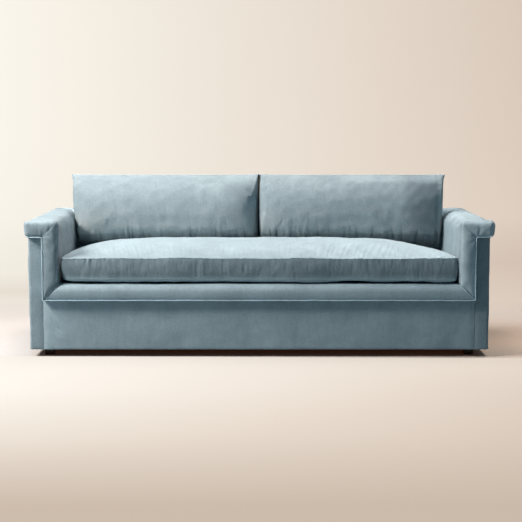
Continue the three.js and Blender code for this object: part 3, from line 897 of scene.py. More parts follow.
def corner_line(first, corner, last, radius, step):
    """Line in plan with one rounded corner."""
    first, corner, last = (np.array(p, float) for p in (first, corner, last))
    into = (first - corner) / np.linalg.norm(first - corner)
    out = (last - corner) / np.linalg.norm(last - corner)
    centre = corner + (into + out) * radius
    arc = []
    for angle in np.linspace(0, math.pi / 2, 9):
        arc.append(centre - out * radius * math.cos(angle) - into * radius * math.sin(angle))
    before = along_path([first, arc[0]], step)[:-1]
    after = along_path([arc[-1], last], step)[1:]
    return np.concatenate((before, arc, after))


def make_covers():
    top = cap_bottom - cover_gap
    step, rear_step, corner_radius, seam_gap = 0.012, 0.016, 0.012, 0.0015
    first = (band_outer + seam_gap, panel_front)
    line = corner_line(first, (body_half, panel_front), (body_half, body_rear), corner_radius, step)
    # Painted shade on the right arm's outer panel, less on the left one; the front panel gets painted
    # light at its far left
    panel(line, top, "right_arm_outer_panel", ["right_outside_arm_cover"], 51, 0.24)
    mirrored = line[::-1] * (-1, 1)
    panel(mirrored, top, "left_arm_outer_panel", ["left_outside_arm_cover"], 53, 0.08)
    line = along_path([(-band_outer, panel_front), (band_outer, panel_front)], step)
    panel(line, rail_bottom - cover_gap, "front_panel", ["front_panel_cover"], 55, 0.0, 24, 0.24)
    half = body_half - cover_thickness - cover_gap
    line = along_path([(half, body_rear), (-half, body_rear)], rear_step)
    panel(line, top, "rear_panel", ["outside_back_cover"], 57, 0.0, 36)


# Seat cushion

def seat_height(x, y):
    """Height of the seat cushion's crowned top."""
    u, v = np.abs(x) / seat_half_x, np.abs(y - seat_middle) / seat_half_y
    left_power, right_power, depth_power = 6.5, 5.0, 2.4
    across = 1 - np.clip(u, 0, 1) ** np.where(x < 0, left_power, right_power)
    crown = seat_crown * across * (1 - np.clip(v, 0, 1) ** depth_power)
    return seat_top_seam + crown - seat_sag(x, y)


def seat_sag(x, y):
    """How far the seat cushion's rear corners are pressed down, more so on the right."""
    left_sag, right_sag = 0.015, 0.034
    most = np.where(x < 0, left_sag, right_sag)
    outwards = smooth_step(0.60, 1.0, np.abs(x) / seat_half_x)
    return most * outwards * smooth_step(seat_front + 0.05, seat_rear - 0.08, y)


def corner_rounded(u, v, half_x, half_y, radius):
    """A square's point (u, v) on a rectangle with rounded corners."""
    x, y = u * half_x, v * half_y
    over_x = np.clip((np.abs(x) - half_x + radius) / radius, 0, 1)
    over_y = np.clip((np.abs(y) - half_y + radius) / radius, 0, 1)
    both = (over_x > 0) & (over_y > 0)
    round_x = over_x * np.sqrt(1 - over_y**2 / 2)
    round_y = over_y * np.sqrt(1 - over_x**2 / 2)
    new_x = np.where(both, np.sign(x) * (half_x - radius + round_x * radius), x)
    new_y = np.where(both, np.sign(y) * (half_y - radius + round_y * radius), y)
    return new_x, new_y


def seat_levels():
    """Rings up the seat cushion's side: the height of each, how far it stands in from the full
    outline and its corner radius."""
    fullest, tight, wider = 0.0045, 0.016, 0.030
    levels = [
        (seat_low.z, 0.017, 0.060),
        (seat_low.z + 0.0025, 0.0105, 0.056),
        (seat_low.z + 0.0075, 0.0055, 0.052),
        (seat_lower_seam - 0.003, 0.0035, 0.048),
        (seat_lower_seam, 0.0040, 0.046),
    ]
    for part in np.linspace(0, 1, 12)[1:-1]:
        height = seat_lower_seam + (seat_top_seam - seat_lower_seam) * part
        bulge = fullest * (1 - (2 * part - 1) ** 2)
        levels.append((height, fullest - bulge, tight + wider * (1 - part) ** 2.5))
    levels.append((seat_top_seam, fullest, tight))
    return levels


def seat_plan(u, v, inwards, radius):
    """Where a square's points (u, v) lie on one ring of the seat cushion, or inside it. Its
    sides are drawn in between the corners, and the corners on the right are squarer."""
    right_share, most_x, most_y = 0.4, 0.004, 0.003
    radius = np.where(u > 0, right_share * radius, radius)
    drawn_x, drawn_y = most_x * (1 - v * v), most_y * (1 - u * u)
    x, y = corner_rounded(u, v, seat_half_x - inwards, seat_half_y - inwards, radius)
    return x - np.sign(u) * np.abs(u) * drawn_x, y - np.sign(v) * np.abs(v) * drawn_y + seat_middle


def make_seat_cushion():
    columns, rows = 420, 64
    us, vs = spread(columns, 0.7), spread(rows, 0.6)
    levels = seat_levels()
    lower_level, top_level = 4, len(levels) - 1
    rim = rim_indices(columns, rows)
    count = len(rim)
    rim_u = np.array([us[i] for i, j in rim])
    rim_v = np.array([vs[j] for i, j in rim])
    points, faces = [], []
    for level, (height, inwards, radius) in enumerate(levels):
        x, y = seat_plan(rim_u, rim_v, inwards, radius)
        points.extend(np.column_stack((x, y, np.full(count, height))))
        if level < top_level:
            faces += ring_faces(level * count, (level + 1) * count, count)

    def add_face(level, crowned):
        """The cushion's top or its underside, inside a ring."""
        height, inwards, radius = levels[level]
        index = {place: level * count + k for k, place in enumerate(rim)}
        grid_u, grid_v = np.meshgrid(us[1:-1], vs[1:-1], indexing="ij")
        x, y = seat_plan(grid_u.ravel(), grid_v.ravel(), inwards, radius)
        z = seat_height(x, y) if crowned else np.full(len(x), height)
        start = len(points)
        points.extend(np.column_stack((x, y, z)))
        for i in range(1, columns - 1):
            for j in range(1, rows - 1):
                index[(i, j)] = start + (i - 1) * (rows - 2) + j - 1
        for square in grid_squares(columns, rows):
            quad = tuple(index[place] for place in square)
            faces.append(quad if crowned else quad[::-1])

    add_face(top_level, True)
    add_face(0, False)
    mesh = mesh_of(points, faces)
    flat = read_points(mesh)
    on_side = np.arange(len(flat)) < len(levels) * count
    rise = np.clip((flat[:, 2] - seat_lower_seam) / (seat_top_seam - seat_lower_seam), 0, 1)
    flat[:, 2] -= on_side * rise * seat_sag(flat[:, 0], flat[:, 1])
    write_points(mesh, flat)
    top_ring = slice(top_level * count, (top_level + 1) * count)
    lower_ring = slice(lower_level * count, (lower_level + 1) * count)
    held = flat[:, 2] < seat_lower_seam + 0.001
    held[top_ring] = True
    write_points(mesh, puffed(mesh, held, 0.005, 0.006))
    reshape(mesh, seat_wrinkles)
    shaped = read_points(mesh)
    body, names = "seat_cushion", ["seat_cushion_cover", "seat_cushion_filling"]
    add_velvet("seat_cushion_padding", mesh, body, names, shade=seat_shade)
    for name, ring in (("seat_top_seam", top_ring), ("seat_lower_seam", lower_ring)):
        cord = tube(shaped[ring][::2], seam_radius, closed=True, sides=6)
        add_velvet(name, cord, body, shade=seat_seam_shade)
    add_zip(body, mesh)


def seat_front_gathers(x, z):
    """Gathers in the seat cushion's side strip, from its top seam, its middle and its lower
    seam, and one deep crease near its left end."""
    below, above = np.clip(seat_top_seam - z, 0, 1), np.clip(z - seat_lower_seam, 0, 1)
    from_middle = np.abs(z - (seat_top_seam + seat_lower_seam) / 2)
    top_spans = [(-0.93, -0.80, 0.0026), (-0.80, -0.60, 0.0018)]
    top_spans += [(-0.60, 0.5, 0.0009), (0.5, 0.95, 0.0014)]
    middle_spans = [(-0.40, -0.05, 0.0016), (-0.05, 0.9, 0.0006)]
    lift = folds(x, below, 63, top_spans, 0.012, 0.0045, 0.038)
    lift += folds(x, from_middle, 66, middle_spans, 0.013, 0.0045, 0.04)
    lift += folds(x, above, 64, [(-0.95, 0.95, 0.0009)], 0.024, 0.007, 0.03)
    crease_x, crease_width, crease_depth, crease_reach = 0.835, 0.006, 0.004, 0.03
    crease = bell(x + crease_x, crease_width) - 0.8 * bell(x + crease_x + 0.01, crease_width)
    return lift + crease_depth * crease * bell(below, crease_reach)


def seat_top_gathers(x, y):
    """Gathers in the seat cushion's top along its front seam."""
    behind = np.clip(y - seat_front, 0, 1)
    spans = [(-0.95, -0.55, 0.0014), (-0.55, 0.40, 0.0010), (0.40, 0.75, 0.0018), (0.75, 0.96, 0.0030)]
    return folds(x, behind, 65, spans, 0.012, 0.0042, 0.028)


def seat_shade(centres, normals):
    """Painted shade and light on the seat cushion: its side strip is painted darker, less so to the
    left and just above its lower seam, darker in the dip of each gather and lighter on the ridges,
    and lighter below the lower seam. The top is painted darker along its front edge and in the
    dips of its gathers, and lighter towards the right."""
    x, y, z = centres.T
    strip, strip_left, near_seam, under_seam = 0.36, 0.05, 0.16, 0.16
    strip_gathers, top_gathers = 62, 60
    is_side = np.abs(normals[:, 2]) < 0.6
    between = (z > seat_lower_seam) & (z < seat_top_seam) & is_side
    ahead = between * (normals[:, 1] < -0.4)
    above = smooth_step(0.5, 0.9, normals[:, 2])
    lower = smooth_step(seat_lower_seam + 0.024, seat_lower_seam + 0.006, z)
    shade = (strip - strip_left * smooth_step(-0.2, -0.8, x) - near_seam * lower) * between
    shade -= under_seam * (z <= seat_lower_seam) * is_side
    # Painted shade along the top's front edge, and painted light towards the right
    front_edge_painted_shade = smooth_step(seat_front + 0.14, seat_front + 0.03, y)
    front_edge_painted_shade *= 0.13 - 0.08 * smooth_step(-0.2, 0.5, x)
    shade += (front_edge_painted_shade + 0.02 - 0.03 * x - 0.19 * smooth_step(0.1, 0.6, x)) * above
    shade = shade - strip_gathers * seat_front_gathers(x, z) * ahead
    return shade - top_gathers * seat_top_gathers(x, y) * above


def seat_seam_shade(centres, normals):
    """Painted shade and highlight on the seat cushion's seams: the lower seam and the left of the
    top one are painted darker, the top one lighter towards the right and in dashes.
    """
    painted_highlight = 0.45 * smooth_step(-0.9, 0.5, centres[:, 0]) + 0.15 * ripple(centres, 0.02, 67, 6)
    return 0.2 - painted_highlight * (centres[:, 2] > seat_lower_seam + 0.02)


def seat_wrinkles(points, normals):
    """Gathers along the seat cushion's seams, and soft unevenness of its filling."""
    x, y, z = points.T
    waves = 0.0016 * ripple(points, 0.3, 61) + 0.0005 * ripple(points, 0.07, 62)
    new = points + normals * waves[:, None]
    is_front = smooth_step(0.4, 0.9, -normals[:, 1]) * (y < seat_front + 0.03)
    new[:, 1] -= is_front * seat_front_gathers(x, z)
    new[:, 2] += smooth_step(0.5, 0.9, normals[:, 2]) * seat_top_gathers(x, y)
    new -= normals * (0.0016 * bell(z - seat_top_seam, 0.004) * is_front)[:, None]
    return new


# Back cushions

def outer_edge(side, z):
    """How far a back cushion's outer edge reaches: out over the arm, and inside it lower down."""
    heights = (0.505, 0.620, 0.660, 0.700, 0.780, 0.840, 0.866)
    if side == LEFT:
        reaches = (0.975, 0.9765, 0.984, 0.9915, 0.9935, 0.996, 1.0025)
    else:
        reaches = (0.975, 0.9765, 0.978, 0.979, 0.982, 0.986, 0.993)
    return np.interp(z, heights, reaches)


def back_form(side, u, v):
    """Where a square's points (u, v) lie on a back cushion: x, y on its front, y on its rear
    and z. The left cushion rolls away widely at the seam between the two, and the right one
    tightly."""
    if side == LEFT:
        corner_drop, inner_roll, inner_wider, inner_power, outer_wider = 0.010, 0.014, 0.058, 2.3, 0.006
    else:
        corner_drop, inner_roll, inner_wider, inner_power, outer_wider = 0.026, 0.008, 0.006, 3.0, 0.018
    top_bow, outer_roll, outer_power = 0.003, 0.012, 2.5
    height = back_top - back_bottom
    z = (back_top + back_bottom) / 2 + v * height / 2
    # 0 at the seam between the cushions and 1 at the arm
    outwards = (1 + u * side) / 2
    x = side * (back_inner_edge + outwards * (outer_edge(side, z) - back_inner_edge))
    z = z - top_bow * (1 - u**8) * smooth_step(0.5, 1, v)
    z = z - corner_drop * smooth_step(0.55, 1.0, outwards) * smooth_step(0.2, -1, v)
    from_inner = np.abs(x) - back_inner_edge
    from_outer = outer_edge(side, z) - np.abs(x)
    from_top, from_bottom = (1 - v) * height / 2, (1 + v) * height / 2
    lower = smooth_step(0.0, 0.20, from_top)
    swell = rising(from_inner, inner_roll + inner_wider * lower, inner_power)
    swell *= rising(from_outer, outer_roll + outer_wider * lower, outer_power)
    # Both are fullest in their middle
    reach = 0.03 + 0.14 * lower
    swell *= 0.76 + 0.24 * (rising(from_inner, reach, 2.6) * rising(from_outer, reach, 2.6))
    swell = swell * rising(from_top, 0.24, 2.0) ** 0.75 * rising(from_bottom, 0.13, 3.0)
    flat = rising(from_inner, 0.03, 3) * rising(from_outer, 0.03, 3) * rising(from_top, 0.06, 3)
    flat *= rising(from_bottom, 0.05, 3)
    return x, back_seam_plane - back_front_reach * swell, back_seam_plane + back_rear_reach * flat, z


def make_back_cushion(side, label):
    columns, rows = 230, 64
    grid_u, grid_v = np.meshgrid(spread(columns, 0.5), spread(rows, 0.6), indexing="ij")
    x, front_y, rear_y, z = back_form(side, grid_u.ravel(), grid_v.ravel())
    places = [divmod(k, rows) for k in range(len(x))]
    in_front = {place: k for k, place in enumerate(places)}
    behind = dict(in_front)
    points = list(zip(x, front_y, z))
    for k, (i, j) in enumerate(places):
        if 0 < i < columns - 1 and 0 < j < rows - 1:
            behind[(i, j)] = len(points)
            points.append((x[k], rear_y[k], z[k]))
    faces = []
    for square in grid_squares(columns, rows):
        faces.append(tuple(in_front[place] for place in square))
        faces.append(tuple(behind[place] for place in reversed(square)))
    mesh = mesh_of(points, faces)
    held = read_points(mesh)[:, 1] > back_seam_plane - 0.0005
    write_points(mesh, puffed(mesh, held, 0.004, 0.007))
    reshape(mesh, lambda points, normals: back_wrinkles(points, normals, side))
    shaped = read_points(mesh)
    path = np.array([shaped[in_front[place]] for place in rim_indices(columns, rows)])[::2]
    body = f"{label}_back_cushion"
    names = [f"{body}_cover", f"{body}_filling"]
    # Painted grey tint low on the cushion, for the light the seat reflects
    write_shade(mesh, back_painted_bounce_tint, "grey")
    add_velvet(f"{body}_padding", mesh, body, names, shade=back_shade(side))
    add_zip(body, mesh)
    cord = tube(path, seam_radius, closed=True, sides=6)
    add_velvet(f"{body}_seam", cord, body, shade=back_seam_shade)


def back_gathers(x, z, side):
    """Gathers along a back cushion's lower edge."""
    if side == LEFT:
        seed, spans = 73, [(-0.90, -0.66, 0.0060), (-0.66, -0.30, 0.0048), (-0.30, 0.0, 0.0045)]
    else:
        seed, spans = 83, [(0.0, 0.22, 0.0055), (0.22, 0.60, 0.0030), (0.60, 0.95, 0.0045)]
    return folds(x, np.clip(z - 0.545, 0, 1), seed, spans, 0.013, 0.0052, 0.034)


def gap_shade(x, y):
    """Painted shade, nearly black, deep between the two back cushions."""
    darker = 0.8
    return darker * smooth_step(0.011, 0.004, np.abs(x)) * smooth_step(0.195, 0.215, y)


def back_seam_shade(centres, normals):
    """The seams of the back cushions get a painted highlight, and painted shade where the two meet."""
    gap_half, dark, light = 0.006, 0.9, -0.5
    return np.where(np.abs(centres[:, 0]) < gap_half, dark, light)


def back_painted_bounce_tint(centres, normals):
    """Painted grey tint towards a back cushion's lower edge, standing in for the light reflected
    from the seat.
    """
    return np.interp(centres[:, 2], (0.56, 0.72), (0.19, 0.025))


def back_shade(side):
    """Painted shade on a back cushion: painted darker all over, more so to the right and higher up.
    Its front is painted darker still in a band along its lower edge and in the dip of each gather,
    and lighter on the ridges. It is darkest beside the seam between the two on the left cushion,
    and near the arm on the right one, whose top is painted lighter."""
    by_height = (-0.19, -0.03, 0.03) if side == LEFT else (-0.10, 0.03, 0.04)
    usual, to_the_right, beside_gap, near_arm, top_lighter = 0.18, 0.08, 0.17, 0.32, 0.20
    darkest, in_dip, on_ridge, at_hem = 0.72, 85, 25, 0.2

    def shade(centres, normals):
        x, y, z = centres.T
        # Painted shade and painted light by place on the cushion
        painted_shading = usual + to_the_right * smooth_step(-0.2, 0.9, x)
        painted_shading = painted_shading + np.interp(z, (0.58, 0.70, 0.83), by_height)
        if side == LEFT:
            painted_shading += beside_gap * smooth_step(-0.26, -0.12, x) * smooth_step(0.84, 0.80, z)
        else:
            below_top = smooth_step(0.845, 0.810, z)
            painted_shading += near_arm * smooth_step(0.72, 0.86, x) * smooth_step(0.965, 0.93, x) * below_top
            on_top = smooth_step(0.36, 0.55, x) * smooth_step(0.80, 0.72, x) * (1 - below_top)
            painted_shading -= top_lighter * on_top
        dips = back_gathers(x, z, side)
        creased = np.where(dips < 0, -in_dip, -on_ridge) * dips
        creased = creased + at_hem * smooth_step(0.564, 0.548, z)
        ahead = smooth_step(0.2, 0.8, -normals[:, 1])
        return np.minimum(painted_shading + ahead * creased, darkest) + gap_shade(x, y)

    return shade


def back_wrinkles(points, normals, side):
    """Gathers along a back cushion's lower edge, and the soft unevenness of its filling. The
    cushion rests on the seat's crown."""
    seed = 71 if side == LEFT else 81
    x, y, z = points.T
    taller = points * (1, 1, 0.8)
    waves = 0.0014 * ripple(taller, 0.22, seed) + 0.0007 * ripple(taller, 0.06, seed + 1)
    outwards = np.abs(x)
    seams = (back_top - z, z - back_bottom, outwards - cover_inner_edge, outer_edge(side, z) - outwards)
    from_seam = np.minimum.reduce(seams) / 0.04
    new = points + normals * (waves * np.clip(from_seam, 0, 1))[:, None]
    new[:, 1] -= smooth_step(0.2, 0.8, -normals[:, 1]) * back_gathers(x, z, side)
    new[:, 2] = np.maximum(new[:, 2], seat_height(new[:, 0], new[:, 1]) + 0.0008)
    return new


# Zips, deck and dust cover

def add_zip(cushion, mesh):
    """Zip in the rear of a cushion: two tapes, and a row of teeth where they meet."""
    low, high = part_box(f"{cushion}_zip")
    middle = (low.z + high.z) / 2
    corners = [vertex.co for vertex in mesh.vertices]
    tree = BVHTree.FromPolygons(corners, [tuple(face.vertices) for face in mesh.polygons])

    def rear_at(x, z):
        return tree.ray_cast((x, 1, z), (0, -1, 0))[0].y

    # Half the tapes' section: (up from the middle, out from the cloth)
    section = [(0.0012, 0.0004), (0.0016, 0.0011), (0.0030, 0.0009), (0.0064, 0.0009), (0.0068, 0.0003)]
    section = [(-up, out) for up, out in reversed(section)] + section
    sunk, tape_step = 0.0008, 0.01
    along = np.linspace(high.x, low.x, round((high.x - low.x) / tape_step))
    outer, inner = [], []
    for up, out in section:
        for x in along:
            y = rear_at(x, middle + up)
            outer.append((x, y + out, middle + up))
            inner.append((x, y - sunk, middle + up))
    tapes = slab(np.array(outer), np.array(inner), len(along), len(section))
    add_piece(f"{cushion}_zip_tapes", tapes, zip_tape, cushion, [f"{cushion}_zip"])
    # Each tooth: (how far behind the cloth, half its height, half its width) of its two ends
    tooth = ((-0.0004, 0.0022, 1.2 * 0.0007), (0.0013, 0.0016, 0.0007))
    pitch, end = 0.0026, 0.004
    points, faces = [], []
    for x in np.arange(low.x + end, high.x - end, pitch):
        base, start = rear_at(x, middle), len(points)
        for behind, reach, half in tooth:
            y = base + behind
            points += [(x - half, y, middle - reach), (x + half, y, middle - reach),
                       (x + half, y, middle + reach), (x - half, y, middle + reach)]
        for quad in ((0, 1, 2, 3), (7, 6, 5, 4), (0, 4, 5, 1), (1, 5, 6, 2), (2, 6, 7, 3), (3, 7, 4, 0)):
            faces.append(tuple(start + corner for corner in quad))
    teeth = mesh_of(points, faces)
    add_piece(f"{cushion}_zip_teeth", teeth, zip_teeth, cushion, sharp=30)


def make_deck():
    """Deck pad, eased over at its edges and a little lower between its springs."""
    low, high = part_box("deck_pad")
    columns, rows = 140, 56
    spring_spacing, edge_half = 0.1636, 0.0015
    grid_v, grid_u = np.meshgrid(spread(rows, 0.6), spread(columns, 0.6), indexing="ij")
    x = grid_u.ravel() * high.x
    y = (low.y + high.y) / 2 + grid_v.ravel() * (high.y - low.y) / 2
    from_edge = np.minimum(high.x - np.abs(x), np.minimum(y - low.y, high.y - y))
    full = rising(from_edge, 0.022, 2.2)
    middle, half = (low.z + high.z) / 2, (high.z - low.z) / 2
    points = np.column_stack((x, y, np.zeros(len(x))))
    between_springs = 0.0012 * (1 - np.cos(x * math.pi / spring_spacing + math.pi)) / 2
    waves = between_springs + 0.0006 * (1 + np.clip(ripple(points, 0.12, 91), -1, 1))
    top = middle + edge_half + (half - edge_half - waves) * full
    bottom = middle - edge_half - (half - edge_half) * full
    mesh = slab(np.column_stack((x, y, top)), np.column_stack((x, y, bottom)), columns, rows)
    add_piece("deck_padding", mesh, deck_cloth, "frame", ["deck_pad"])


def make_dust_cover():
    """Thin cloth stapled under the frame, with a hole round each foot. It sags a little."""
    low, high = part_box("dust_cover")
    thickness, clear, sag, sag_reach = 0.0009, 0.005, 0.003, 0.12
    feet = [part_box(name) for name in foot_names]
    lines = []
    for axis, count in ((0, 110), (1, 42)):
        edges = [place for foot in feet for place in (foot[0][axis] - clear, foot[1][axis] + clear)]
        even = np.linspace(low[axis], high[axis], count)
        lines.append(np.unique(np.round(np.concatenate((even, edges)), 4)))
    xs, ys = lines
    points = []
    for x in xs:
        for y in ys:
            inside = min(high.x - abs(x), y - low.y, high.y - y)
            wave = 0.5 * ripple(np.array([(x, y, 0.0)]), 0.35, 93)[0]
            drop = sag * smooth_step(0, sag_reach, inside) * (0.7 + 0.3 * np.clip(wave, -1, 1))
            points.append((x, y, high.z - thickness - drop))
    faces = []
    for i in range(len(xs) - 1):
        for j in range(len(ys) - 1):
            x, y = (xs[i] + xs[i + 1]) / 2, (ys[j] + ys[j + 1]) / 2
            in_hole = [a.x - clear < x < b.x + clear and a.y - clear < y < b.y + clear for a, b in feet]
            if not any(in_hole):
                corner = i * len(ys) + j
                faces.append((corner, corner + len(ys), corner + len(ys) + 1, corner + 1))
    work = placed("work", mesh_of(points, faces))
    thicken = work.modifiers.new("thicken", "SOLIDIFY")
    thicken.thickness = thickness
    thicken.offset = 1.0
    piece = add_piece("dust_sheet", evaluated(work), black_cloth, "frame", ["dust_cover"])


# Feet

def make_foot(name):
    """Square block with eased edges, slightly narrower at the floor."""
    low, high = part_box(name)
    narrow_share, eased = 0.94, 0.0025
    shape = bmesh.new()
    bmesh.ops.create_cube(shape, size=1.0)
    for vertex in shape.verts:
        narrow = narrow_share if vertex.co.z < 0 else 1.0
        for axis in range(3):
            size = (high[axis] - low[axis]) * (narrow if axis < 2 else 1)
            vertex.co[axis] = (low[axis] + high[axis]) / 2 + vertex.co[axis] * size
    bmesh.ops.bevel(shape, geom=shape.edges[:], offset=eased, segments=3, profile=0.5, affect="EDGES")
    mesh = bpy.data.meshes.new(name)
    shape.to_mesh(mesh)
    shape.free()
    add_piece(f"{name}_block", mesh, dark_wood, "frame", [name], sharp=40)


# Stage, lights and camera

def linear(red, green, blue):
    """Colour of a screen value from 0 to 255, as the shaders take it."""
    return tuple(((value / 255 + 0.055) / 1.055) ** 2.4 for value in (red, green, blue))


pale_tone = linear(236, 227, 215)


def paper_finish():
    """Pale paper that curves up behind the sofa, with painted light: brighter on the left, and
    darker towards the front and along the bend. The lit floor beside and under the sofa takes
    its shadow, with painted shadow worked into its colour too. It fades into evenly bright paper
    all round."""
    made = Finish("paper", {
        "Roughness": 0.8,
        "Specular IOR Level": 0.1,
        # A faint warm glow from the paper, which paints a warm tint into the shade under the sofa
        "Emission Color": (1.0, 0.26, 0.06, 1),
        "Emission Strength": 0.015,
    })
    split = made.node("ShaderNodeSeparateXYZ", {"Vector": made.place})
    across, along = split.outputs["X"], split.outputs["Y"]
    back = made.math("ADD", along, split.outputs["Z"])
    nearest, furthest = -8.0, 12.0

    def between(value, low, high):
        """Share from 0 to 1 of the way from low to high."""
        inputs = {"Value": value, "From Min": low, "From Max": high}
        return made.node("ShaderNodeMapRange", inputs).outputs["Result"]

    def graded(share, left, right):
        """Colour that changes from front to back by (place, colour) stops, and across."""
        reach = between(back, nearest, furthest)
        sides = []
        for stops in (left, right):
            shares = [((place - nearest) / (furthest - nearest), color) for place, color in stops]
            sides.append(made.ramp(reach, shares))
        return made.mix(share, *sides)

    # Colours of the lit paper, with painted light and painted shadow, such as darker paper in the sofa's
    # shadow on the right
    lit_left = [(-2.9, (0.56, 0.49, 0.42)), (-0.4, (0.70, 0.70, 0.69)), (0.9, (0.585, 0.58, 0.565))]
    lit_right = [
        (-2.9, (0.89, 0.753, 0.64)),
        (-0.7, (0.72, 0.665, 0.605)),
        (-0.04, (0.76, 0.595, 0.49)),
        (0.42, (0.56, 0.465, 0.395)),
        (0.83, (0.80, 0.727, 0.662)),
    ]
    # Colours of the glow that the camera sees, with painted light: brighter on the left, darker towards
    # the front and along the bend
    bright_left = [
        (-7.0, pale_tone),
        (-2.86, linear(206, 189, 173)),
        (-1.97, linear(239, 231, 219)),
        (-1.2, linear(252, 247, 238)),
        (0.8, linear(249, 242, 232)),
        (1.9, linear(232, 223, 211)),
        (2.9, linear(242, 237, 225)),
        (10.0, linear(251, 246, 236)),
    ]
    bright_right = [
        (-7.0, pale_tone),
        (-2.86, linear(203, 187, 171)),
        (-1.97, linear(221, 205, 190)),
        (-0.4, linear(232, 221, 208)),
        (1.3, linear(221, 205, 190)),
        (3.6, linear(212, 194, 180)),
        (8.0, linear(222, 206, 191)),
        (11.5, linear(217, 201, 186)),
    ]
    rays = made.node("ShaderNodeLightPath").outputs
    seen = made.math("MAXIMUM", rays["Is Camera Ray"], rays["Is Glossy Ray"])
    seen = made.math("MAXIMUM", seen, rays["Is Transmission Ray"])
    unseen_tone = (0.19, 0.225, 0.24)
    made.finish(made.mix(seen, unseen_tone, graded(between(across, -1.0, 1.0), lit_left, lit_right)))
    # The brightness fans out from a point ahead of the sofa, evenly from side to side
    fan_start, fan_least, fan_slope = 6.73, 3.8, 0.203
    distance = made.math("MAXIMUM", made.math("ADD", along, fan_start), fan_least)
    fan = between(made.math("DIVIDE", across, distance), -fan_slope, fan_slope)
    aside = made.math("ABSOLUTE", across)
    bright = made.mix(between(aside, 3.4, 9.0), graded(fan, bright_left, bright_right), pale_tone)
    glow = made.node("ShaderNodeEmission", {"Color": bright})
    # The glow stops at a line that paints the front edge of the sofa's shadow, which runs a little
    # forwards to the right
    shadow_slope = 0.020
    edge = made.scaled(across, shadow_slope, back)
    ahead = made.scaled(between(edge, -0.414, -0.434), 0.8)
    away = made.math("MAXIMUM", ahead, between(aside, 1.55, 2.4))
    away = made.math("MAXIMUM", between(back, 0.7, 1.5), away)
    inputs = {0: made.math("MULTIPLY", seen, away), 1: made.shader.outputs[0], 2: glow.outputs[0]}
    both = made.node("ShaderNodeMixShader", inputs)
    made.tree.links.new(both.outputs[0], made.tree.nodes["Material Output"].inputs["Surface"])
    return made.material


def make_stage():
    bend_start, bend_radius, bend_steps, top, side = 7.9, 1.1, 24, 8.0, 24.0
    paper = paper_finish()
    profile = [(bend_start, 0.0)]
    for step in range(1, bend_steps + 1):
        turn = math.pi / 2 * step / bend_steps
        profile.append((bend_start + bend_radius * math.sin(turn), bend_radius * (1 - math.cos(turn))))
    profile.append((bend_start + bend_radius, top))
    points = [(x, y, z) for y, z in profile for x in (-side, side)]
    faces = [(2 * i, 2 * i + 1, 2 * i + 3, 2 * i + 2) for i in range(len(profile) - 1)]
    floor_corners = [(-side, -side, 0), (side, -side, 0), (side, bend_start, 0), (-side, bend_start, 0)]
    floor = mesh_of(floor_corners, [(0, 1, 2, 3)])
    for name, mesh in (("floor", floor), ("backdrop", mesh_of(points, faces))):
        mesh.materials.append(paper)
        mesh.shade_smooth()
        placed(name, mesh)


def add_light(name, kind, place, power, color, **settings):
    """A light over the sofa that points straight down until it is aimed."""
    data = bpy.data.lights.new(name, kind)
    data.energy = power
    data.color = color
    for key, value in settings.items():
        setattr(data, key, value)
    light = placed(name, data)
    light.location = place
    return light


def make_lights():
    target = Vector((0, 0, 0.4))
    for name, place, power, color, size in (
        ("key", (-3.1, -1.45, 2.8), 182, (1.0, 0.89, 0.825), 1.0),
        ("overhead", (-0.3, 0.45, 3.2), 100, (1.0, 0.87, 0.80), 1.8),
    ):
        light = add_light(name, "AREA", place, power, color, size=size)
        light.rotation_euler = (target - Vector(place)).to_track_quat("-Z", "Y").to_euler()
    # A soft spot beside the right arm lightens the sofa's shadow on the floor there
    spot = {"spot_size": math.radians(50), "spot_blend": 1.0, "shadow_soft_size": 0.4}
    add_light("floor_light", "SPOT", (1.65, 0.0, 2.5), 150, (1.0, 0.89, 0.79), **spot)


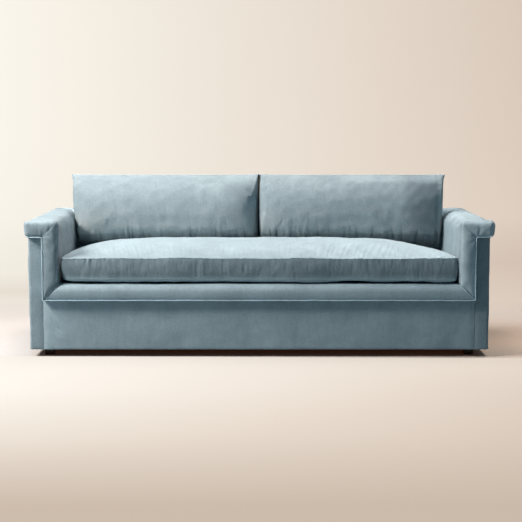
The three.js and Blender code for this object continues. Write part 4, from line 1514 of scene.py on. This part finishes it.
def make_world():
    """Bluish light from all round, seen by the camera as pale paper."""
    world = bpy.data.worlds.new("studio")
    world.use_nodes = True
    tree = world.node_tree
    fill = tree.nodes["Background"]
    fill.inputs["Color"].default_value = (0.50, 0.87, 1.06, 1)
    fill.inputs["Strength"].default_value = 0.16
    pale = tree.nodes.new("ShaderNodeBackground")
    pale.inputs["Color"].default_value = (*pale_tone, 1)
    either = tree.nodes.new("ShaderNodeMixShader")
    rays = tree.nodes.new("ShaderNodeLightPath").outputs
    tree.links.new(rays["Is Camera Ray"], either.inputs["Fac"])
    tree.links.new(fill.outputs["Background"], either.inputs[1])
    tree.links.new(pale.outputs["Background"], either.inputs[2])
    tree.links.new(either.outputs["Shader"], tree.nodes["World Output"].inputs["Surface"])
    bpy.context.scene.world = world
    bpy.context.scene.view_settings.view_transform = "Standard"


def make_camera():
    image_width, focal_pixels = 522, 1300
    aside, distance, height = 0.0095, 6.287, 1.204
    tilt_down = math.radians(6.582)
    data = bpy.data.cameras.new("camera")
    data.sensor_width = 36
    data.lens = data.sensor_width * focal_pixels / image_width
    camera = placed("camera", data)
    camera.location = (aside, front - distance, height)
    camera.rotation_euler = (math.pi / 2 - tilt_down, 0, 0)
    bpy.context.scene.camera = camera


def model_finish(name):
    """Finish of a piece that stays as modelled, such as the timber and the springs."""
    low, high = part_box(name)
    size = high - low
    longest = max(range(3), key=lambda axis: size[axis])
    finishes = [
        (("webbing",), webbing),
        (("board",), fibre_board),
        (("rail", "post", "upright", "brace", "block"), timbers[longest]),
        (("bolt", "spring"), steel),
        (("zip",), zip_tape),
        (("filling",), foam),
        (("deck_pad", "dust_cover"), black_cloth),
    ]
    for words, finish in finishes:
        if any(word in name for word in words):
            return finish
    return velvet


def dress_model_nodes():
    for name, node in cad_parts.items():
        for slot in node.material_slots:
            slot.material = model_finish(name)


make_camera()
make_stage()
make_lights()
make_world()
dress_model_nodes()
for side, label in both_sides:
    make_arm_pad(side, label)
make_back_pad()
make_rail_pad()
make_welts()
make_covers()
make_seat_cushion()
for side, label in both_sides:
    make_back_cushion(side, label)
make_deck()
make_dust_cover()
for name in foot_names:
    make_foot(name)
